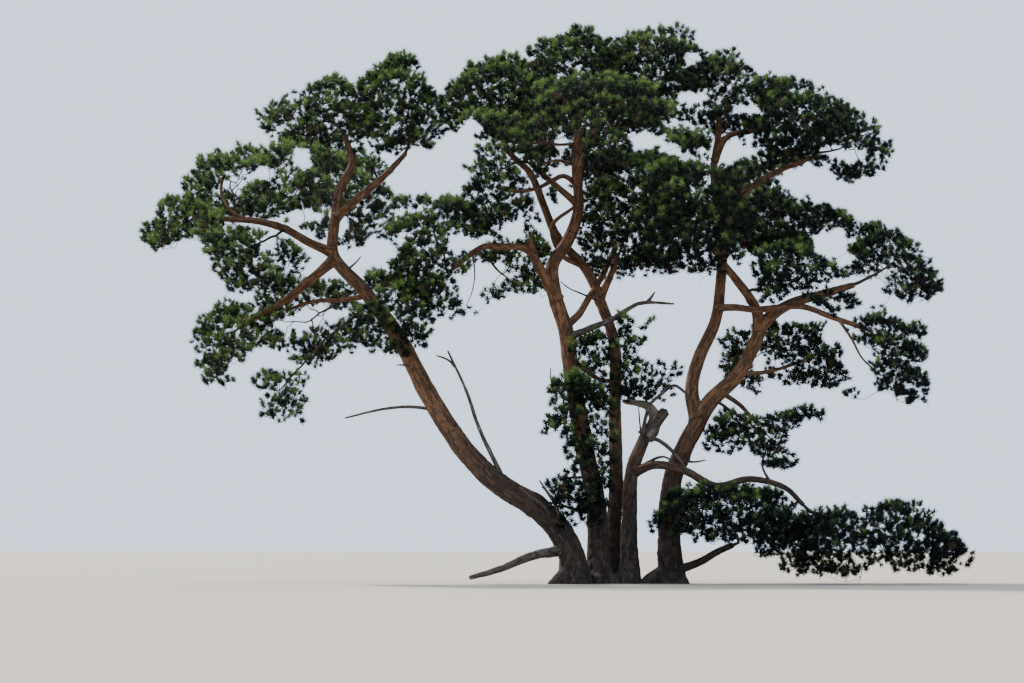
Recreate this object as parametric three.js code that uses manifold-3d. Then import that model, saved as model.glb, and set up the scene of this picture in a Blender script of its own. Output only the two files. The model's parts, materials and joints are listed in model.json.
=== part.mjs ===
// A clump of five pine stems from one root: stems, boughs, dead limbs and masses of needles.
// Millimetres, +Z up. The origin is the middle of the main stem's flat cut at ground level,
// +X runs along the widest side of the crown and -Y is its front.
import * as THREE from "three";
import { mergeVertices } from "three/addons/utils/BufferGeometryUtils.js";
import Module from "manifold-3d";

const wasm = await Module();
wasm.setup();

// Limbs: sides and lengths between two rings of a tube
const CLEARANCE = 0.3; // between a limb and whatever grows from it
const STEM_SIDES = 9;
const BOUGH_SIDES = 6;
const DEAD_SIDES = 5;
const STEM_STEP = 620;
const BOUGH_STEP = 520;
const STEM_TAPER = 0.75; // below 1, a limb keeps its thickness for longer
const BOUGH_TAPER = 0.8;
const GROUND_BLOCK = [20000, 20000, 2000]; // the block that makes the flat cut

// Foot of a stem: a flare, and buttress roots that run out and down to the ground
const FLARE_RISE = 420; // height over which the flare dies out
const FLARE_SPREAD = 0.45; // how much wider the foot is than the stem
const ROOT_SIDES = 6;
const ROOT_RINGS = 3;
const ROOT_START = 330; // height at which a root leaves the stem
const ROOT_MIDDLE = 115; // height of a root halfway out
const ROOT_END = -110; // depth of a root's end below the flat cut
const ROOT_RADII = [0.75, 0.28]; // beside the stem's own radius

// Twigs and sprays of needles, larger than life
const TWIG_SIDES = 3;
const TWIG_RADII = [26, 13];
const MASS_STEM_SIDES = 4;
const MASS_STEM_STEP = 700;
const MASS_STEM_BASE = 43; // where a mass grows from the side of a limb
const MASS_STEM_SHARE = 0.85; // of the tip's radius, where it goes on from a bough
const FORK_SHARES = [0.45, 0.6, 0.75, 0.9, 1]; // places along a mass's stem where twigs start
const SPRAYS_AT_LEAST = 4;
const SPRAYS_PER_SQUARE_METRE = 0.58; // of a mass's mean face
const SPRAY_TEETH = 4;
const SPRAY_NOTCH = 0.5; // radius at the notches between a spray's teeth, beside 1 at the longest
const SPRAY_UNEVEN = 0.15; // how much shorter a tooth can be
const SPRAY_STRETCH = 1.1;
const SPRAY_THICKNESS = 0.36;
const SPRAY_OVERHANG = 0.35; // of its size that a spray's middle lies beyond its twig's tip
const SPRAY_ROLL = 1.2; // furthest roll of a spray about its twig, in radians
const SPRAY_SIZES = [900, 790, 680, 580, 470, 360]; // the largest that fits is taken
const TWIG_REACHES = [0.78, 0.66, 0.54, 0.42, 0.3]; // shares of the space where a twig may end

// The space of a mass
const ROUNDNESS = 3; // 2 would make an ellipsoid, and more fills its corners
const SKIN = 3; // least distance from a spray to the edge of its space
const CORE_SHARE = 0.5; // size of a dense mass's core beside its space
const CORE_UNEVEN = 0.22;
const FIRST_SEED = 101;
const SEED_STEP = 13;
const SLIVER = 0.1; // edges shorter than this are closed up

// Every place below is given as [across, depth, up] where it shows from the standpoint in
// front of the tree. Its true place lies on the same line of sight, at its own depth.
const STANDPOINT = { across: -1780, distance: 47000, up: 680 };

// Each limb runs from its parent along its way, and tapers from the first radius to the
// second. A bend of more than a step is in the way's points, and the rest is a curve.
const STEMS = {
  stem_main: {
    radii: [225, 55],
    way: [
      [0, 0, -200], [-20, 0, 880], [-60, -20, 1600], [-310, -50, 2890], [-530, -80, 4160],
      [-680, -100, 5190], [-880, -140, 5900], [-940, -120, 6520], [-640, -50, 7030],
      [-410, 0, 7650], [-450, 50, 8570], [-410, 200, 9490], [-390, 350, 10150],
    ],
    roots: [[-95, 620], [-20, 560]],
  },
  stem_left: {
    radii: [265, 50],
    way: [
      [-440, -350, -200], [-640, -400, 780], [-1160, -480, 1470], [-2050, -500, 2030],
      [-2770, -420, 2750], [-3470, -300, 3820], [-4090, -100, 4990], [-4840, 50, 6020],
      [-5460, 100, 6740], [-5430, 100, 7540], [-5330, 120, 8180], [-5100, 200, 8670],
      [-5250, 300, 9250],
    ],
    roots: [[-150, 760], [150, 620], [38, 520]],
  },
  stem_centre: {
    radii: [165, 50],
    way: [
      [290, 380, -140], [290, 420, 880], [350, 500, 2110], [330, 580, 3550],
      [330, 600, 4880], [100, 620, 5640], [-230, 650, 6420], [-840, 800, 7110],
      [-1110, 950, 7750], [-1410, 1050, 8470], [-1820, 950, 8880], [-2030, 700, 9390],
    ],
    roots: [[-128, 480], [85, 520]],
  },
  stem_broken: {
    radii: [180, 95],
    way: [
      [620, 0, -140], [620, 50, 1190], [680, 100, 2280], [920, 150, 2930],
      [1150, 200, 3380], [1000, 260, 3630], [550, 300, 3710],
    ],
    roots: [[180, 640], [130, 520], [-70, 480]],
  },
  stem_right: {
    radii: [240, 60],
    way: [
      [1480, 150, -180], [1440, 150, 1700], [1600, 120, 2420], [1950, 100, 3140],
      [2320, 100, 3750], [2850, 80, 4260], [3200, 20, 4880], [3420, -50, 5350],
      [3920, -100, 5720], [4630, 0, 5940], [5270, 100, 6130],
    ],
    roots: [[190, 900], [-60, 700], [65, 620]],
  },
};

const BOUGHS = {
  bough_left_far: {
    from: "stem_left",
    radii: [95, 48],
    way: [
      [-5510, 100, 6790], [-5970, 0, 7010], [-6440, -150, 7280], [-7050, -250, 7460],
      [-7670, -250, 7500], [-8120, -200, 7560],
    ],
  },
  bough_left_low: {
    from: "stem_left",
    radii: [105, 50],
    way: [
      [-5450, 100, 6680], [-5920, 150, 6250], [-6440, 250, 5820], [-6910, 300, 5540],
      [-7240, 300, 5350],
    ],
  },
  bough_left_rise: {
    from: "stem_left",
    radii: [95, 48],
    way: [[-5410, 100, 7540], [-5000, 50, 7910], [-4450, -50, 8380], [-3980, -100, 8880]],
  },
  bough_cross_upright: {
    from: "stem_main",
    radii: [115, 75],
    way: [[-860, -100, 5800], [-1090, -300, 6270], [-1290, -450, 6660], [-1440, -550, 7070]],
  },
  bough_cross_level: {
    from: "bough_cross_upright",
    radii: [75, 48],
    way: [
      [-1350, -500, 6790], [-1600, -620, 6910], [-2030, -800, 6930], [-2400, -900, 6910],
      [-2750, -950, 6680], [-3010, -950, 6460],
    ],
  },
  bough_main_shoulder: {
    from: "stem_main",
    radii: [75, 45],
    way: [[-410, 0, 7790], [-800, -250, 8140], [-1410, -750, 8670]],
  },
  bough_main_right: {
    from: "stem_main",
    radii: [75, 48],
    way: [[-430, 100, 8880], [20, -50, 9450], [470, -200, 9940]],
  },
  bough_main_front: {
    from: "stem_main",
    radii: [85, 48],
    way: [[-430, 20, 8260], [-310, -700, 8710], [-140, -1500, 9120], [-60, -2100, 9290]],
  },
  bough_centre_right: {
    from: "stem_centre",
    radii: [85, 55],
    way: [[20, 620, 5840], [250, 700, 6310], [390, 850, 6700]],
  },
  bough_arching: {
    from: "stem_broken",
    radii: [95, 48],
    way: [
      [680, 100, 2230], [1150, -200, 2420], [1760, -450, 2300], [2380, -500, 1990],
      [3100, -500, 2130], [3810, -500, 1950], [4180, -500, 1600],
    ],
  },
  bough_right_foot: {
    from: "stem_right",
    radii: [95, 60],
    way: [[1580, 100, 230], [2070, -250, 450], [2400, -400, 640], [2730, -500, 780]],
  },
  limb_right_upright: {
    from: "stem_right",
    radii: [150, 52],
    way: [
      [2070, 100, 3300], [1910, 300, 3920], [2070, 450, 4630], [2400, 500, 5350],
      [2520, 500, 6110], [2560, 450, 7240], [2400, 400, 8510], [2500, 450, 9250],
      [2520, 500, 9740],
    ],
  },
  bough_right_top: {
    from: "limb_right_upright",
    radii: [70, 45],
    way: [[2400, 400, 8710], [2690, 200, 9220], [3100, 0, 9330], [3550, -200, 9390]],
  },
  bough_right_reach: {
    from: "limb_right_upright",
    radii: [72, 45],
    way: [[2540, 450, 7440], [2990, 400, 8000], [3460, 350, 8360], [4430, 300, 8790]],
  },
  bough_right_inner: {
    from: "stem_right",
    radii: [110, 60],
    way: [
      [3340, 0, 5170], [3240, -150, 5640], [2990, -700, 6050], [2640, -1350, 6500],
      [2360, -1750, 6910],
    ],
  },
  bough_right_long: {
    from: "limb_right_upright",
    radii: [78, 48],
    way: [
      [2480, 500, 5640], [2840, -150, 5660], [3250, -700, 5620], [4180, -700, 5680],
      [4840, -500, 5450], [5510, -300, 5230],
    ],
  },
};

// A dead limb ends in a bare point. Its prong, if it has one, is part of it.
const DEAD_LIMBS = {
  dead_limb_centre: {
    from: "stem_main",
    radii: [78, 22],
    way: [
      [-660, -100, 5020], [-180, -300, 5230], [270, -400, 5410], [840, -500, 5740],
      [1560, -600, 5740],
    ],
    prong: { radii: [34, 14], way: [[1020, -520, 5760], [1100, -540, 5880], [1170, -550, 5990]] },
  },
  dead_limb_upright: {
    from: "stem_left",
    radii: [58, 20],
    way: [
      [-1700, -450, 2110], [-2150, -600, 2520], [-2460, -700, 3180], [-2710, -750, 3920],
      [-3100, -700, 4760],
    ],
    prong: { radii: [28, 13], way: [[-2960, -710, 4440], [-3100, -760, 4580], [-3340, -850, 4670]] },
  },
  dead_limb_low: {
    from: "stem_left",
    radii: [40, 18],
    way: [[-3380, -300, 3480], [-3870, -400, 3610], [-4390, -550, 3570], [-5210, -800, 3380]],
  },
  dead_limb_ground: {
    from: "stem_left",
    radii: [110, 45],
    way: [[-800, -400, 640], [-1410, -800, 550], [-2030, -1100, 290], [-2640, -1300, 120]],
  },
};

// Each mass of needles fills the part of its own round space that no other mass and no limb
// takes. Its stem starts at the tip of the bough that carries it, or at the side of the limb.
const MASSES = {
  far_left: { centre: [-8670, -200, 7360], half: [880, 1500, 780], from: "bough_left_far" },
  left_shoulder: {
    centre: [-7610, 900, 8300], half: [1110, 1700, 860], from: "bough_left_far", side: [-7500, 7500],
  },
  left_peak: { centre: [-5800, 600, 9740], half: [1310, 1800, 880], from: "stem_left" },
  left_crest: { centre: [-4040, -100, 10000], half: [960, 1800, 1190], from: "bough_left_rise" },
  left_heart: {
    centre: [-6090, -2000, 8260], half: [1310, 1600, 900], from: "stem_left", side: [-5380, 7900],
  },
  left_shelf: {
    centre: [-7240, -1300, 6870], half: [1270, 1600, 860], from: "bough_left_far", side: [-6440, 7280],
  },
  left_back: {
    centre: [-5210, 2900, 8020], half: [1190, 1800, 1150], from: "stem_left", side: [-5430, 7540],
  },
  left_low: { centre: [-7670, 200, 4880], half: [860, 1500, 980], from: "bough_left_low" },
  left_hanging: {
    centre: [-6520, -200, 3980], half: [660, 1100, 740], from: "stem_left", side: [-4700, 5800],
    bend: [-5700, -60, 4900],
  },
  left_under: {
    centre: [-6030, 1200, 5350], half: [1230, 1700, 1020], from: "stem_left", side: [-4950, 6120],
  },
  left_veil: {
    centre: [-4280, -1400, 5700], half: [960, 1300, 1020], from: "stem_left", side: [-4500, 5500],
  },
  middle_cloud: { centre: [-3260, -1300, 6930], half: [1190, 1800, 1440], from: "bough_cross_level" },
  middle_hanging: {
    centre: [-1800, 500, 6190], half: [980, 1400, 1230], from: "bough_cross_level", side: [-2500, 6850],
  },
  centre_left: { centre: [-2030, -1600, 8530], half: [1230, 1900, 1330], from: "bough_main_shoulder" },
  centre_shoulder: {
    centre: [-2190, 400, 10110], half: [1270, 2200, 940], from: "stem_centre", core: true,
  },
  centre_top: { centre: [-490, 500, 10620], half: [1070, 2300, 960], from: "stem_main", core: true },
  centre_crest: {
    centre: [1090, -200, 10640], half: [1230, 2300, 960], from: "bough_main_right", core: true,
  },
  centre_front: {
    centre: [60, -3100, 9610], half: [1520, 1900, 940], from: "bough_main_front", core: true,
  },
  centre_back: {
    centre: [-290, 3700, 9390], half: [1800, 2100, 1230], from: "stem_main", side: [-450, 8700],
    bend: [-400, 1500, 9000], core: true,
  },
  centre_heart: {
    centre: [840, 500, 7750], half: [1390, 2200, 1520], from: "bough_centre_right", core: true,
  },
  right_canopy: {
    centre: [2030, -2600, 7930], half: [1310, 1900, 1480], from: "bough_right_inner", core: true,
  },
  right_top: { centre: [2830, 600, 10230], half: [1270, 2000, 940], from: "limb_right_upright" },
  right_crest: { centre: [4160, -1000, 9700], half: [1150, 1900, 980], from: "bough_right_top" },
  right_peak: { centre: [5190, 300, 9060], half: [960, 1800, 940], from: "bough_right_reach" },
  right_middle: {
    centre: [3670, -200, 7690], half: [1640, 2000, 940], from: "limb_right_upright",
    side: [2560, 6900],
  },
  right_far: { centre: [6090, 100, 6600], half: [1250, 1800, 1020], from: "stem_right" },
  right_inner: {
    centre: [4280, -2000, 6330], half: [1190, 1500, 860], from: "bough_right_inner",
    side: [3190, 5720],
  },
  right_low: { centre: [5970, 200, 4610], half: [980, 1600, 1070], from: "bough_right_long" },
  right_under: {
    centre: [3870, 1400, 4760], half: [1480, 1600, 940], from: "stem_right", side: [3180, 4880],
  },
  right_skirt: {
    centre: [3460, -200, 3030], half: [1350, 1400, 700], from: "stem_right", side: [2350, 3750],
  },
  right_back: {
    centre: [3810, 3600, 7950], half: [1640, 2100, 1190], from: "limb_right_upright",
    side: [2560, 6500], bend: [2900, 2000, 7300], core: true,
  },
  main_veil: {
    centre: [-450, -650, 2870], half: [820, 800, 1800], from: "stem_main", side: [-200, 2500],
  },
  low_centre: {
    centre: [620, -200, 4670], half: [1270, 1200, 1020], from: "stem_centre", side: [330, 4300],
  },
  low_middle: { centre: [2640, -400, 1330], half: [1640, 1600, 840], from: "bough_right_foot" },
  low_right: { centre: [5600, -500, 890], half: [2200, 1700, 880], from: "bough_arching" },
};

const BARK_LOW = { color: 0x5d4a3d, roughness: 0.95, metalness: 0 };
const BARK_HIGH = { color: 0x8f5b3b, roughness: 0.85, metalness: 0 };
const DEAD_WOOD = { color: 0x6e6258, roughness: 0.9, metalness: 0 };
const NEEDLES = { color: 0x2f4a22, roughness: 0.8, metalness: 0 };

// True place of a point given as it shows from the standpoint
function seen([across, depth, up]) {
  const spread = (STANDPOINT.distance + depth) / STANDPOINT.distance;
  return new THREE.Vector3(
    STANDPOINT.across + (across - STANDPOINT.across) * spread,
    depth,
    STANDPOINT.up + (up - STANDPOINT.up) * spread,
  );
}

function seededRandom(seed) {
  let state = seed;
  return () => {
    state = (state * 1664525 + 1013904223) % 4294967296;
    return state / 4294967296;
  };
}

function solidOf(geometry) {
  geometry.deleteAttribute("normal");
  geometry.deleteAttribute("uv");
  const merged = mergeVertices(geometry, 1e-3);
  const mesh = new wasm.Mesh({
    numProp: 3,
    vertProperties: Float32Array.from(merged.attributes.position.array),
    triVerts: Uint32Array.from(merged.index.array),
  });
  return new wasm.Manifold(mesh);
}

// The largest body, with no scraps and no closed hollows
function largestBody(solid) {
  const bodies = solid.decompose();
  return bodies.reduce((best, body) => (body.volume() > best.volume() ? body : best));
}

function sidewaysOf(direction) {
  const axis = Math.abs(direction.x) < 0.7 ? new THREE.Vector3(1, 0, 0) : new THREE.Vector3(0, 1, 0);
  return axis.addScaledVector(direction, -axis.dot(direction)).normalize();
}

// The curve's places at the rings of its tube, which is straight between them
function spineOf(curve, rings) {
  return Array.from({ length: rings + 1 }, (_, ring) => curve.getPointAt(ring / rings));
}

// A closed tube: a cylinder whose rings are carried along the curve
function tube(curve, radiusAt, sides, rings, extra = 0) {
  const geometry = new THREE.CylinderGeometry(1, 1, 1, sides, rings);
  let normal = sidewaysOf(curve.getTangentAt(0));
  const places = spineOf(curve, rings).map((centre, ring) => {
    const tangent = curve.getTangentAt(ring / rings);
    normal = normal.clone().addScaledVector(tangent, -normal.dot(tangent)).normalize();
    return { centre, normal, side: normal.clone().cross(tangent) };
  });
  const position = geometry.attributes.position;
  const point = new THREE.Vector3();
  for (let index = 0; index < position.count; index++) {
    point.fromBufferAttribute(position, index);
    const share = Math.round((point.y + 0.5) * rings) / rings;
    const { centre, normal: across, side } = places[Math.round(share * rings)];
    const radius = radiusAt(share) + extra;
    const place = centre.clone();
    place.addScaledVector(across, point.x * radius);
    place.addScaledVector(side, point.z * radius);
    position.setXYZ(index, place.x, place.y, place.z);
  }
  return solidOf(geometry);
}

function taper([base, tip], power = BOUGH_TAPER) {
  return (share) => tip + (base - tip) * (1 - share) ** power;
}

// The block under the flat cut, with its top at ground level
function groundBlock() {
  const block = new THREE.BoxGeometry(...GROUND_BLOCK);
  block.translate(0, 0, -GROUND_BLOCK[2] / 2);
  return solidOf(block);
}

const ground = groundBlock();

// A stem with its flare and its buttress roots, cut flat at ground level. With a little
// extra thickness the same shape cuts whatever has to stay clear of the stem.
function stemSolid(stem, extra = 0) {
  const rings = stem.spine.length - 1;
  const plain = taper(stem.radii, STEM_TAPER);
  const flared = (share) => {
    const height = Math.max(stem.curve.getPointAt(share).z, 0);
    return plain(share) * (1 + FLARE_SPREAD * Math.exp(-height / FLARE_RISE));
  };
  const pieces = [tube(stem.curve, flared, STEM_SIDES, rings, extra)];
  const foot = stem.curve.getPointAt(0);
  const radii = ROOT_RADII.map((share) => share * stem.radii[0]);
  for (const [angle, reach] of stem.roots) {
    const turn = THREE.MathUtils.degToRad(angle);
    const outward = new THREE.Vector3(Math.cos(turn), Math.sin(turn), 0);
    const root = new THREE.CatmullRomCurve3([
      foot.clone().setZ(ROOT_START),
      foot.clone().addScaledVector(outward, reach / 2).setZ(ROOT_MIDDLE),
      foot.clone().addScaledVector(outward, reach).setZ(ROOT_END),
    ]);
    pieces.push(tube(root, taper(radii), ROOT_SIDES, ROOT_RINGS, extra));
  }
  return wasm.Manifold.union(pieces).subtract(ground);
}

function boughSolid(bough, extra = 0) {
  return tube(bough.curve, taper(bough.radii), bough.sides, bough.spine.length - 1, extra);
}

function nearestOf(points, place) {
  return points.reduce((best, point) => (point.distanceTo(place) < best.distanceTo(place) ? point : best));
}

// The point of a limb's centre line that lies nearest to a place
function nearestOn(spine, place) {
  const points = spine.slice(1).map((end, index) =>
    new THREE.Line3(spine[index], end).closestPointToPoint(place, true, new THREE.Vector3()),
  );
  return nearestOf(points, place);
}

const limbs = {};

function addStem(name, { radii, way, roots }) {
  const stem = { radii, roots, curve: new THREE.CatmullRomCurve3(way.map(seen)), material: BARK_LOW };
  stem.spine = spineOf(stem.curve, Math.round(stem.curve.getLength() / STEM_STEP));
  stem.solid = stemSolid(stem);
  for (const other of Object.values(limbs)) stem.solid = stem.solid.subtract(other.clear);
  stem.solid = largestBody(stem.solid);
  stem.clear = stemSolid(stem, CLEARANCE);
  limbs[name] = stem;
}

function addLimb(name, { from, radii, way, prong }, sides, material) {
  const parent = limbs[from];
  const points = way.map(seen);
  points[0] = nearestOn(parent.spine, points[0]);
  const limb = { from, radii, sides, material, curve: new THREE.CatmullRomCurve3(points) };
  limb.spine = spineOf(limb.curve, Math.max(3, Math.round(limb.curve.getLength() / BOUGH_STEP)));
  limb.solid = boughSolid(limb);
  limb.clear = boughSolid(limb, CLEARANCE);
  if (prong) {
    const curve = new THREE.CatmullRomCurve3(prong.way.map(seen));
    curve.points[0] = nearestOn(limb.spine, curve.points[0]);
    limb.solid = limb.solid.add(tube(curve, taper(prong.radii), DEAD_SIDES, 2));
  }
  const neighbours = Object.values(limbs).filter((other) => other === parent || other.from === from);
  for (const neighbour of neighbours) limb.solid = limb.solid.subtract(neighbour.clear);
  limb.solid = largestBody(limb.solid.subtract(ground));
  limbs[name] = limb;
}

for (const [name, stem] of Object.entries(STEMS)) addStem(name, stem);
for (const [name, bough] of Object.entries(BOUGHS)) addLimb(name, bough, BOUGH_SIDES, BARK_HIGH);
for (const [name, limb] of Object.entries(DEAD_LIMBS)) addLimb(name, limb, DEAD_SIDES, DEAD_WOOD);

// The masses' spaces: a round space each, less what lies beyond the plane to each neighbour
const spaces = {};
for (const [name, { centre, half }] of Object.entries(MASSES)) {
  spaces[name] = { centre: seen(centre), half: new THREE.Vector3(...half), planes: [] };
}

// How far a round space reaches from its centre in a direction
function reachAlong(half, direction) {
  return 1 / direction.clone().divide(half).length();
}

for (const [name, space] of Object.entries(spaces)) {
  for (const [otherName, other] of Object.entries(spaces)) {
    if (name === otherName) continue;
    const line = other.centre.clone().sub(space.centre);
    const direction = line.clone().normalize();
    const own = reachAlong(space.half, direction);
    const share = own / (own + reachAlong(other.half, direction));
    const sizes = space.half.clone().add(other.half);
    const normal = line.clone().divide(sizes).divide(sizes).normalize();
    space.planes.push({ at: space.centre.clone().addScaledVector(line, share), normal });
  }
}

// How far out a place lies in a mass's space, from 0 at its middle to 1 at its round edge
function shareOut(space, place) {
  const { x, y, z } = place.clone().sub(space.centre).divide(space.half);
  return (Math.abs(x) ** ROUNDNESS + Math.abs(y) ** ROUNDNESS + Math.abs(z) ** ROUNDNESS) ** (1 / ROUNDNESS);
}

function isInside(space, point) {
  if (point.z < SKIN || shareOut(space, point) > 1) return false;
  return space.planes.every(({ at, normal }) => point.clone().sub(at).dot(normal) < -SKIN);
}

// A toothed blade, held by its root: two low cones base to base, whose shared rim is cut in
// teeth that reach furthest outwards. It points along +X and its flat side faces +Y.
function sprayGeometry(random) {
  const blade = new THREE.SphereGeometry(1, SPRAY_TEETH * 2, 2);
  const position = blade.attributes.position;
  const point = new THREE.Vector3();
  const sizes = Array.from({ length: SPRAY_TEETH * 2 }, (_, corner) =>
    corner % 2 ? SPRAY_NOTCH : 1 - SPRAY_UNEVEN * random(),
  );
  for (let index = 0; index < position.count; index++) {
    point.fromBufferAttribute(position, index);
    const turn = Math.atan2(point.z, point.x) / (Math.PI * 2) + 1;
    const size = sizes[Math.round(turn * sizes.length) % sizes.length];
    const isRim = Math.abs(point.y) < 0.5;
    if (isRim) position.setXYZ(index, point.x * size * SPRAY_STRETCH, 0, point.z * size);
    else position.setXYZ(index, 0, point.y * SPRAY_THICKNESS, 0);
  }
  return blade;
}

function cornersOf(geometry) {
  const position = geometry.attributes.position;
  return Array.from({ length: position.count }, (_, index) =>
    new THREE.Vector3().fromBufferAttribute(position, index),
  );
}

function boxesMeet(one, other) {
  return [0, 1, 2].every((axis) => one.min[axis] <= other.max[axis] && other.min[axis] <= one.max[axis]);
}

function isClearOf(piece, obstacles) {
  const box = piece.boundingBox();
  return obstacles.every(
    ({ solid, box: other }) => !boxesMeet(box, other) || piece.intersect(solid).isEmpty(),
  );
}

// The first length of a mass's wood: from its bough's tip or its limb's side to its middle
function massStem(name) {
  const { centre, from, side, bend } = MASSES[name];
  const limb = limbs[from];
  const points = [];
  if (side) {
    const depth = limb.curve.getPointAt(0.5).y;
    points.push(nearestOn(limb.spine, seen([side[0], depth, side[1]])));
  } else {
    const tangent = limb.curve.getTangentAt(1);
    points.push(limb.curve.getPointAt(1).addScaledVector(tangent, CLEARANCE));
    points.push(points[0].clone().addScaledVector(tangent, limb.radii[1] * 2));
  }
  if (bend) points.push(seen(bend));
  points.push(seen(centre));
  const curve = new THREE.CatmullRomCurve3(points);
  const base = side ? MASS_STEM_BASE : limb.radii[1] * MASS_STEM_SHARE;
  const rings = Math.max(2, Math.round(curve.getLength() / MASS_STEM_STEP));
  const grown = tube(curve, taper([base, TWIG_RADII[0]]), MASS_STEM_SIDES, rings);
  const solid = side ? largestBody(grown.subtract(limb.clear)) : grown;
  return { curve, solid };
}

const massStems = {};
for (const name of Object.keys(MASSES)) massStems[name] = massStem(name);

// An uneven ball in the middle of a dense mass, cut clear of what passes through it
function coreSolid(space, obstacles, random) {
  const ball = new THREE.IcosahedronGeometry(1, 1);
  const sizes = new Map();
  cornersOf(ball).forEach((corner, index) => {
    const key = corner.toArray().map((value) => value.toFixed(3)).join();
    if (!sizes.has(key)) sizes.set(key, CORE_SHARE * (1 - CORE_UNEVEN * random()));
    const place = corner.multiply(space.half).multiplyScalar(sizes.get(key)).add(space.centre);
    ball.attributes.position.setXYZ(index, place.x, place.y, place.z);
  });
  const core = solidOf(ball);
  const box = core.boundingBox();
  const passing = obstacles.filter((obstacle) => boxesMeet(box, obstacle.box));
  return passing.reduce((rest, obstacle) => rest.subtract(obstacle.solid), core);
}

// Where a spray of a given size sits: root at the twig's tip, pointing outwards, rolled
function sprayPlace(tip, outward, roll, size) {
  const side = new THREE.Vector3(0, 0, 1).cross(outward);
  if (side.length() < 0.1) side.set(0, 1, 0);
  side.normalize().applyAxisAngle(outward, roll);
  const face = side.clone().cross(outward).normalize();
  const place = new THREE.Matrix4().makeBasis(outward, face, outward.clone().cross(face));
  place.scale(new THREE.Vector3(size, size, size));
  place.setPosition(tip.clone().addScaledVector(outward, size * SPRAY_OVERHANG));
  return place;
}

// Even directions all round, for the places that a mass's twigs grow towards
function evenDirections(count, turn) {
  const golden = Math.PI * (3 - Math.sqrt(5));
  return Array.from({ length: count }, (_, index) => {
    const height = 1 - (2 * index + 1) / count;
    const round = Math.sqrt(1 - height * height);
    const angle = golden * index + turn;
    return new THREE.Vector3(round * Math.cos(angle), round * Math.sin(angle), height);
  });
}

function placeOut(space, direction, share) {
  const offset = direction.clone().multiply(space.half);
  const edge = shareOut(space, space.centre.clone().add(offset));
  return space.centre.clone().addScaledVector(offset, share / edge);
}

// Every twig with its spray that fits the space in one direction, the one that reaches
// furthest with the largest spray first
function fittingSprays(space, forks, direction, random) {
  const blade = sprayGeometry(random);
  const roll = (random() * 2 - 1) * SPRAY_ROLL;
  const fitting = [];
  for (const share of TWIG_REACHES) {
    const tip = placeOut(space, direction, share);
    const start = nearestOf(forks, tip);
    const outward = placeOut(space, direction, 1).sub(start).normalize();
    for (const size of SPRAY_SIZES) {
      const spray = blade.clone().applyMatrix4(sprayPlace(tip, outward, roll, size));
      const corners = cornersOf(spray);
      if (!corners.every((corner) => isInside(space, corner))) continue;
      const reach = Math.max(...corners.map((corner) => corner.distanceTo(space.centre)));
      fitting.push({ spray, start, tip, worth: reach + size });
    }
  }
  return fitting.sort((one, other) => other.worth - one.worth);
}

// Twigs branch from the mass's stem and from each other, nearest first, and each ends in a
// spray. One that would touch a limb, another mass's stem or another spray is left out.
function massSolid(name, seed) {
  const space = spaces[name];
  const { curve, solid: stem } = massStems[name];
  const random = seededRandom(seed);
  const otherStems = Object.keys(massStems).filter((other) => other !== name);
  const blockers = [
    ...Object.values(limbs).map((limb) => limb.clear),
    ...otherStems.map((other) => massStems[other].solid),
  ];
  const obstacles = blockers.map((solid) => ({ solid, box: solid.boundingBox() }));
  const { x, y, z } = space.half.clone().divideScalar(1000);
  const meanFace = (Math.PI * (x * y + y * z + z * x)) / 3;
  const count = SPRAYS_AT_LEAST + Math.round(SPRAYS_PER_SQUARE_METRE * meanFace);
  const forks = FORK_SHARES.map((share) => curve.getPointAt(share));
  const distances = new Map();
  for (const direction of evenDirections(count, seed)) {
    const tip = placeOut(space, direction, TWIG_REACHES[0]);
    distances.set(direction, nearestOf(forks, tip).distanceTo(tip));
  }
  const directions = [...distances.keys()].sort((one, other) => distances.get(one) - distances.get(other));
  const pieces = [stem];
  const sprays = [];
  for (const direction of directions) {
    for (const { spray, start, tip } of fittingSprays(space, forks, direction, random)) {
      const blades = solidOf(spray);
      const twig = tube(new THREE.LineCurve3(start, tip), taper(TWIG_RADII), TWIG_SIDES, 1);
      if (!isClearOf(blades, [...obstacles, ...sprays]) || !isClearOf(twig, obstacles)) continue;
      pieces.push(blades, twig);
      sprays.push({ solid: blades, box: blades.boundingBox() });
      forks.push(start.clone().lerp(tip, 0.5));
      break;
    }
  }
  if (MASSES[name].core) pieces.push(coreSolid(space, obstacles, random));
  return largestBody(wasm.Manifold.union(pieces));
}

// One named mesh for a solid, with its own place at the middle of the solid's box
function meshOf(name, solid, material) {
  const closed = solid.asOriginal().simplify(SLIVER);
  const { vertProperties, triVerts, numProp } = closed.getMesh();
  const { min, max } = closed.boundingBox();
  const middle = [0, 1, 2].map((axis) => Math.round((min[axis] + max[axis]) / 2));
  const places = new Float32Array((vertProperties.length / numProp) * 3);
  for (let index = 0; index < places.length; index++) {
    const vertex = Math.floor(index / 3);
    places[index] = vertProperties[vertex * numProp + (index % 3)] - middle[index % 3];
  }
  const geometry = new THREE.BufferGeometry();
  geometry.setAttribute("position", new THREE.BufferAttribute(places, 3));
  geometry.setIndex(new THREE.BufferAttribute(Uint32Array.from(triVerts), 1));
  geometry.computeVertexNormals();
  const mesh = new THREE.Mesh(geometry, new THREE.MeshStandardMaterial(material));
  mesh.name = name;
  mesh.position.set(...middle);
  return mesh;
}

const tree = new THREE.Group();
tree.name = "scots_pine";
for (const [name, limb] of Object.entries(limbs)) tree.add(meshOf(name, limb.solid, limb.material));
Object.keys(MASSES).forEach((name, index) => {
  tree.add(meshOf(`mass_${name}`, massSolid(name, FIRST_SEED + index * SEED_STEP), NEEDLES));
});

export default tree;
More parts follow.
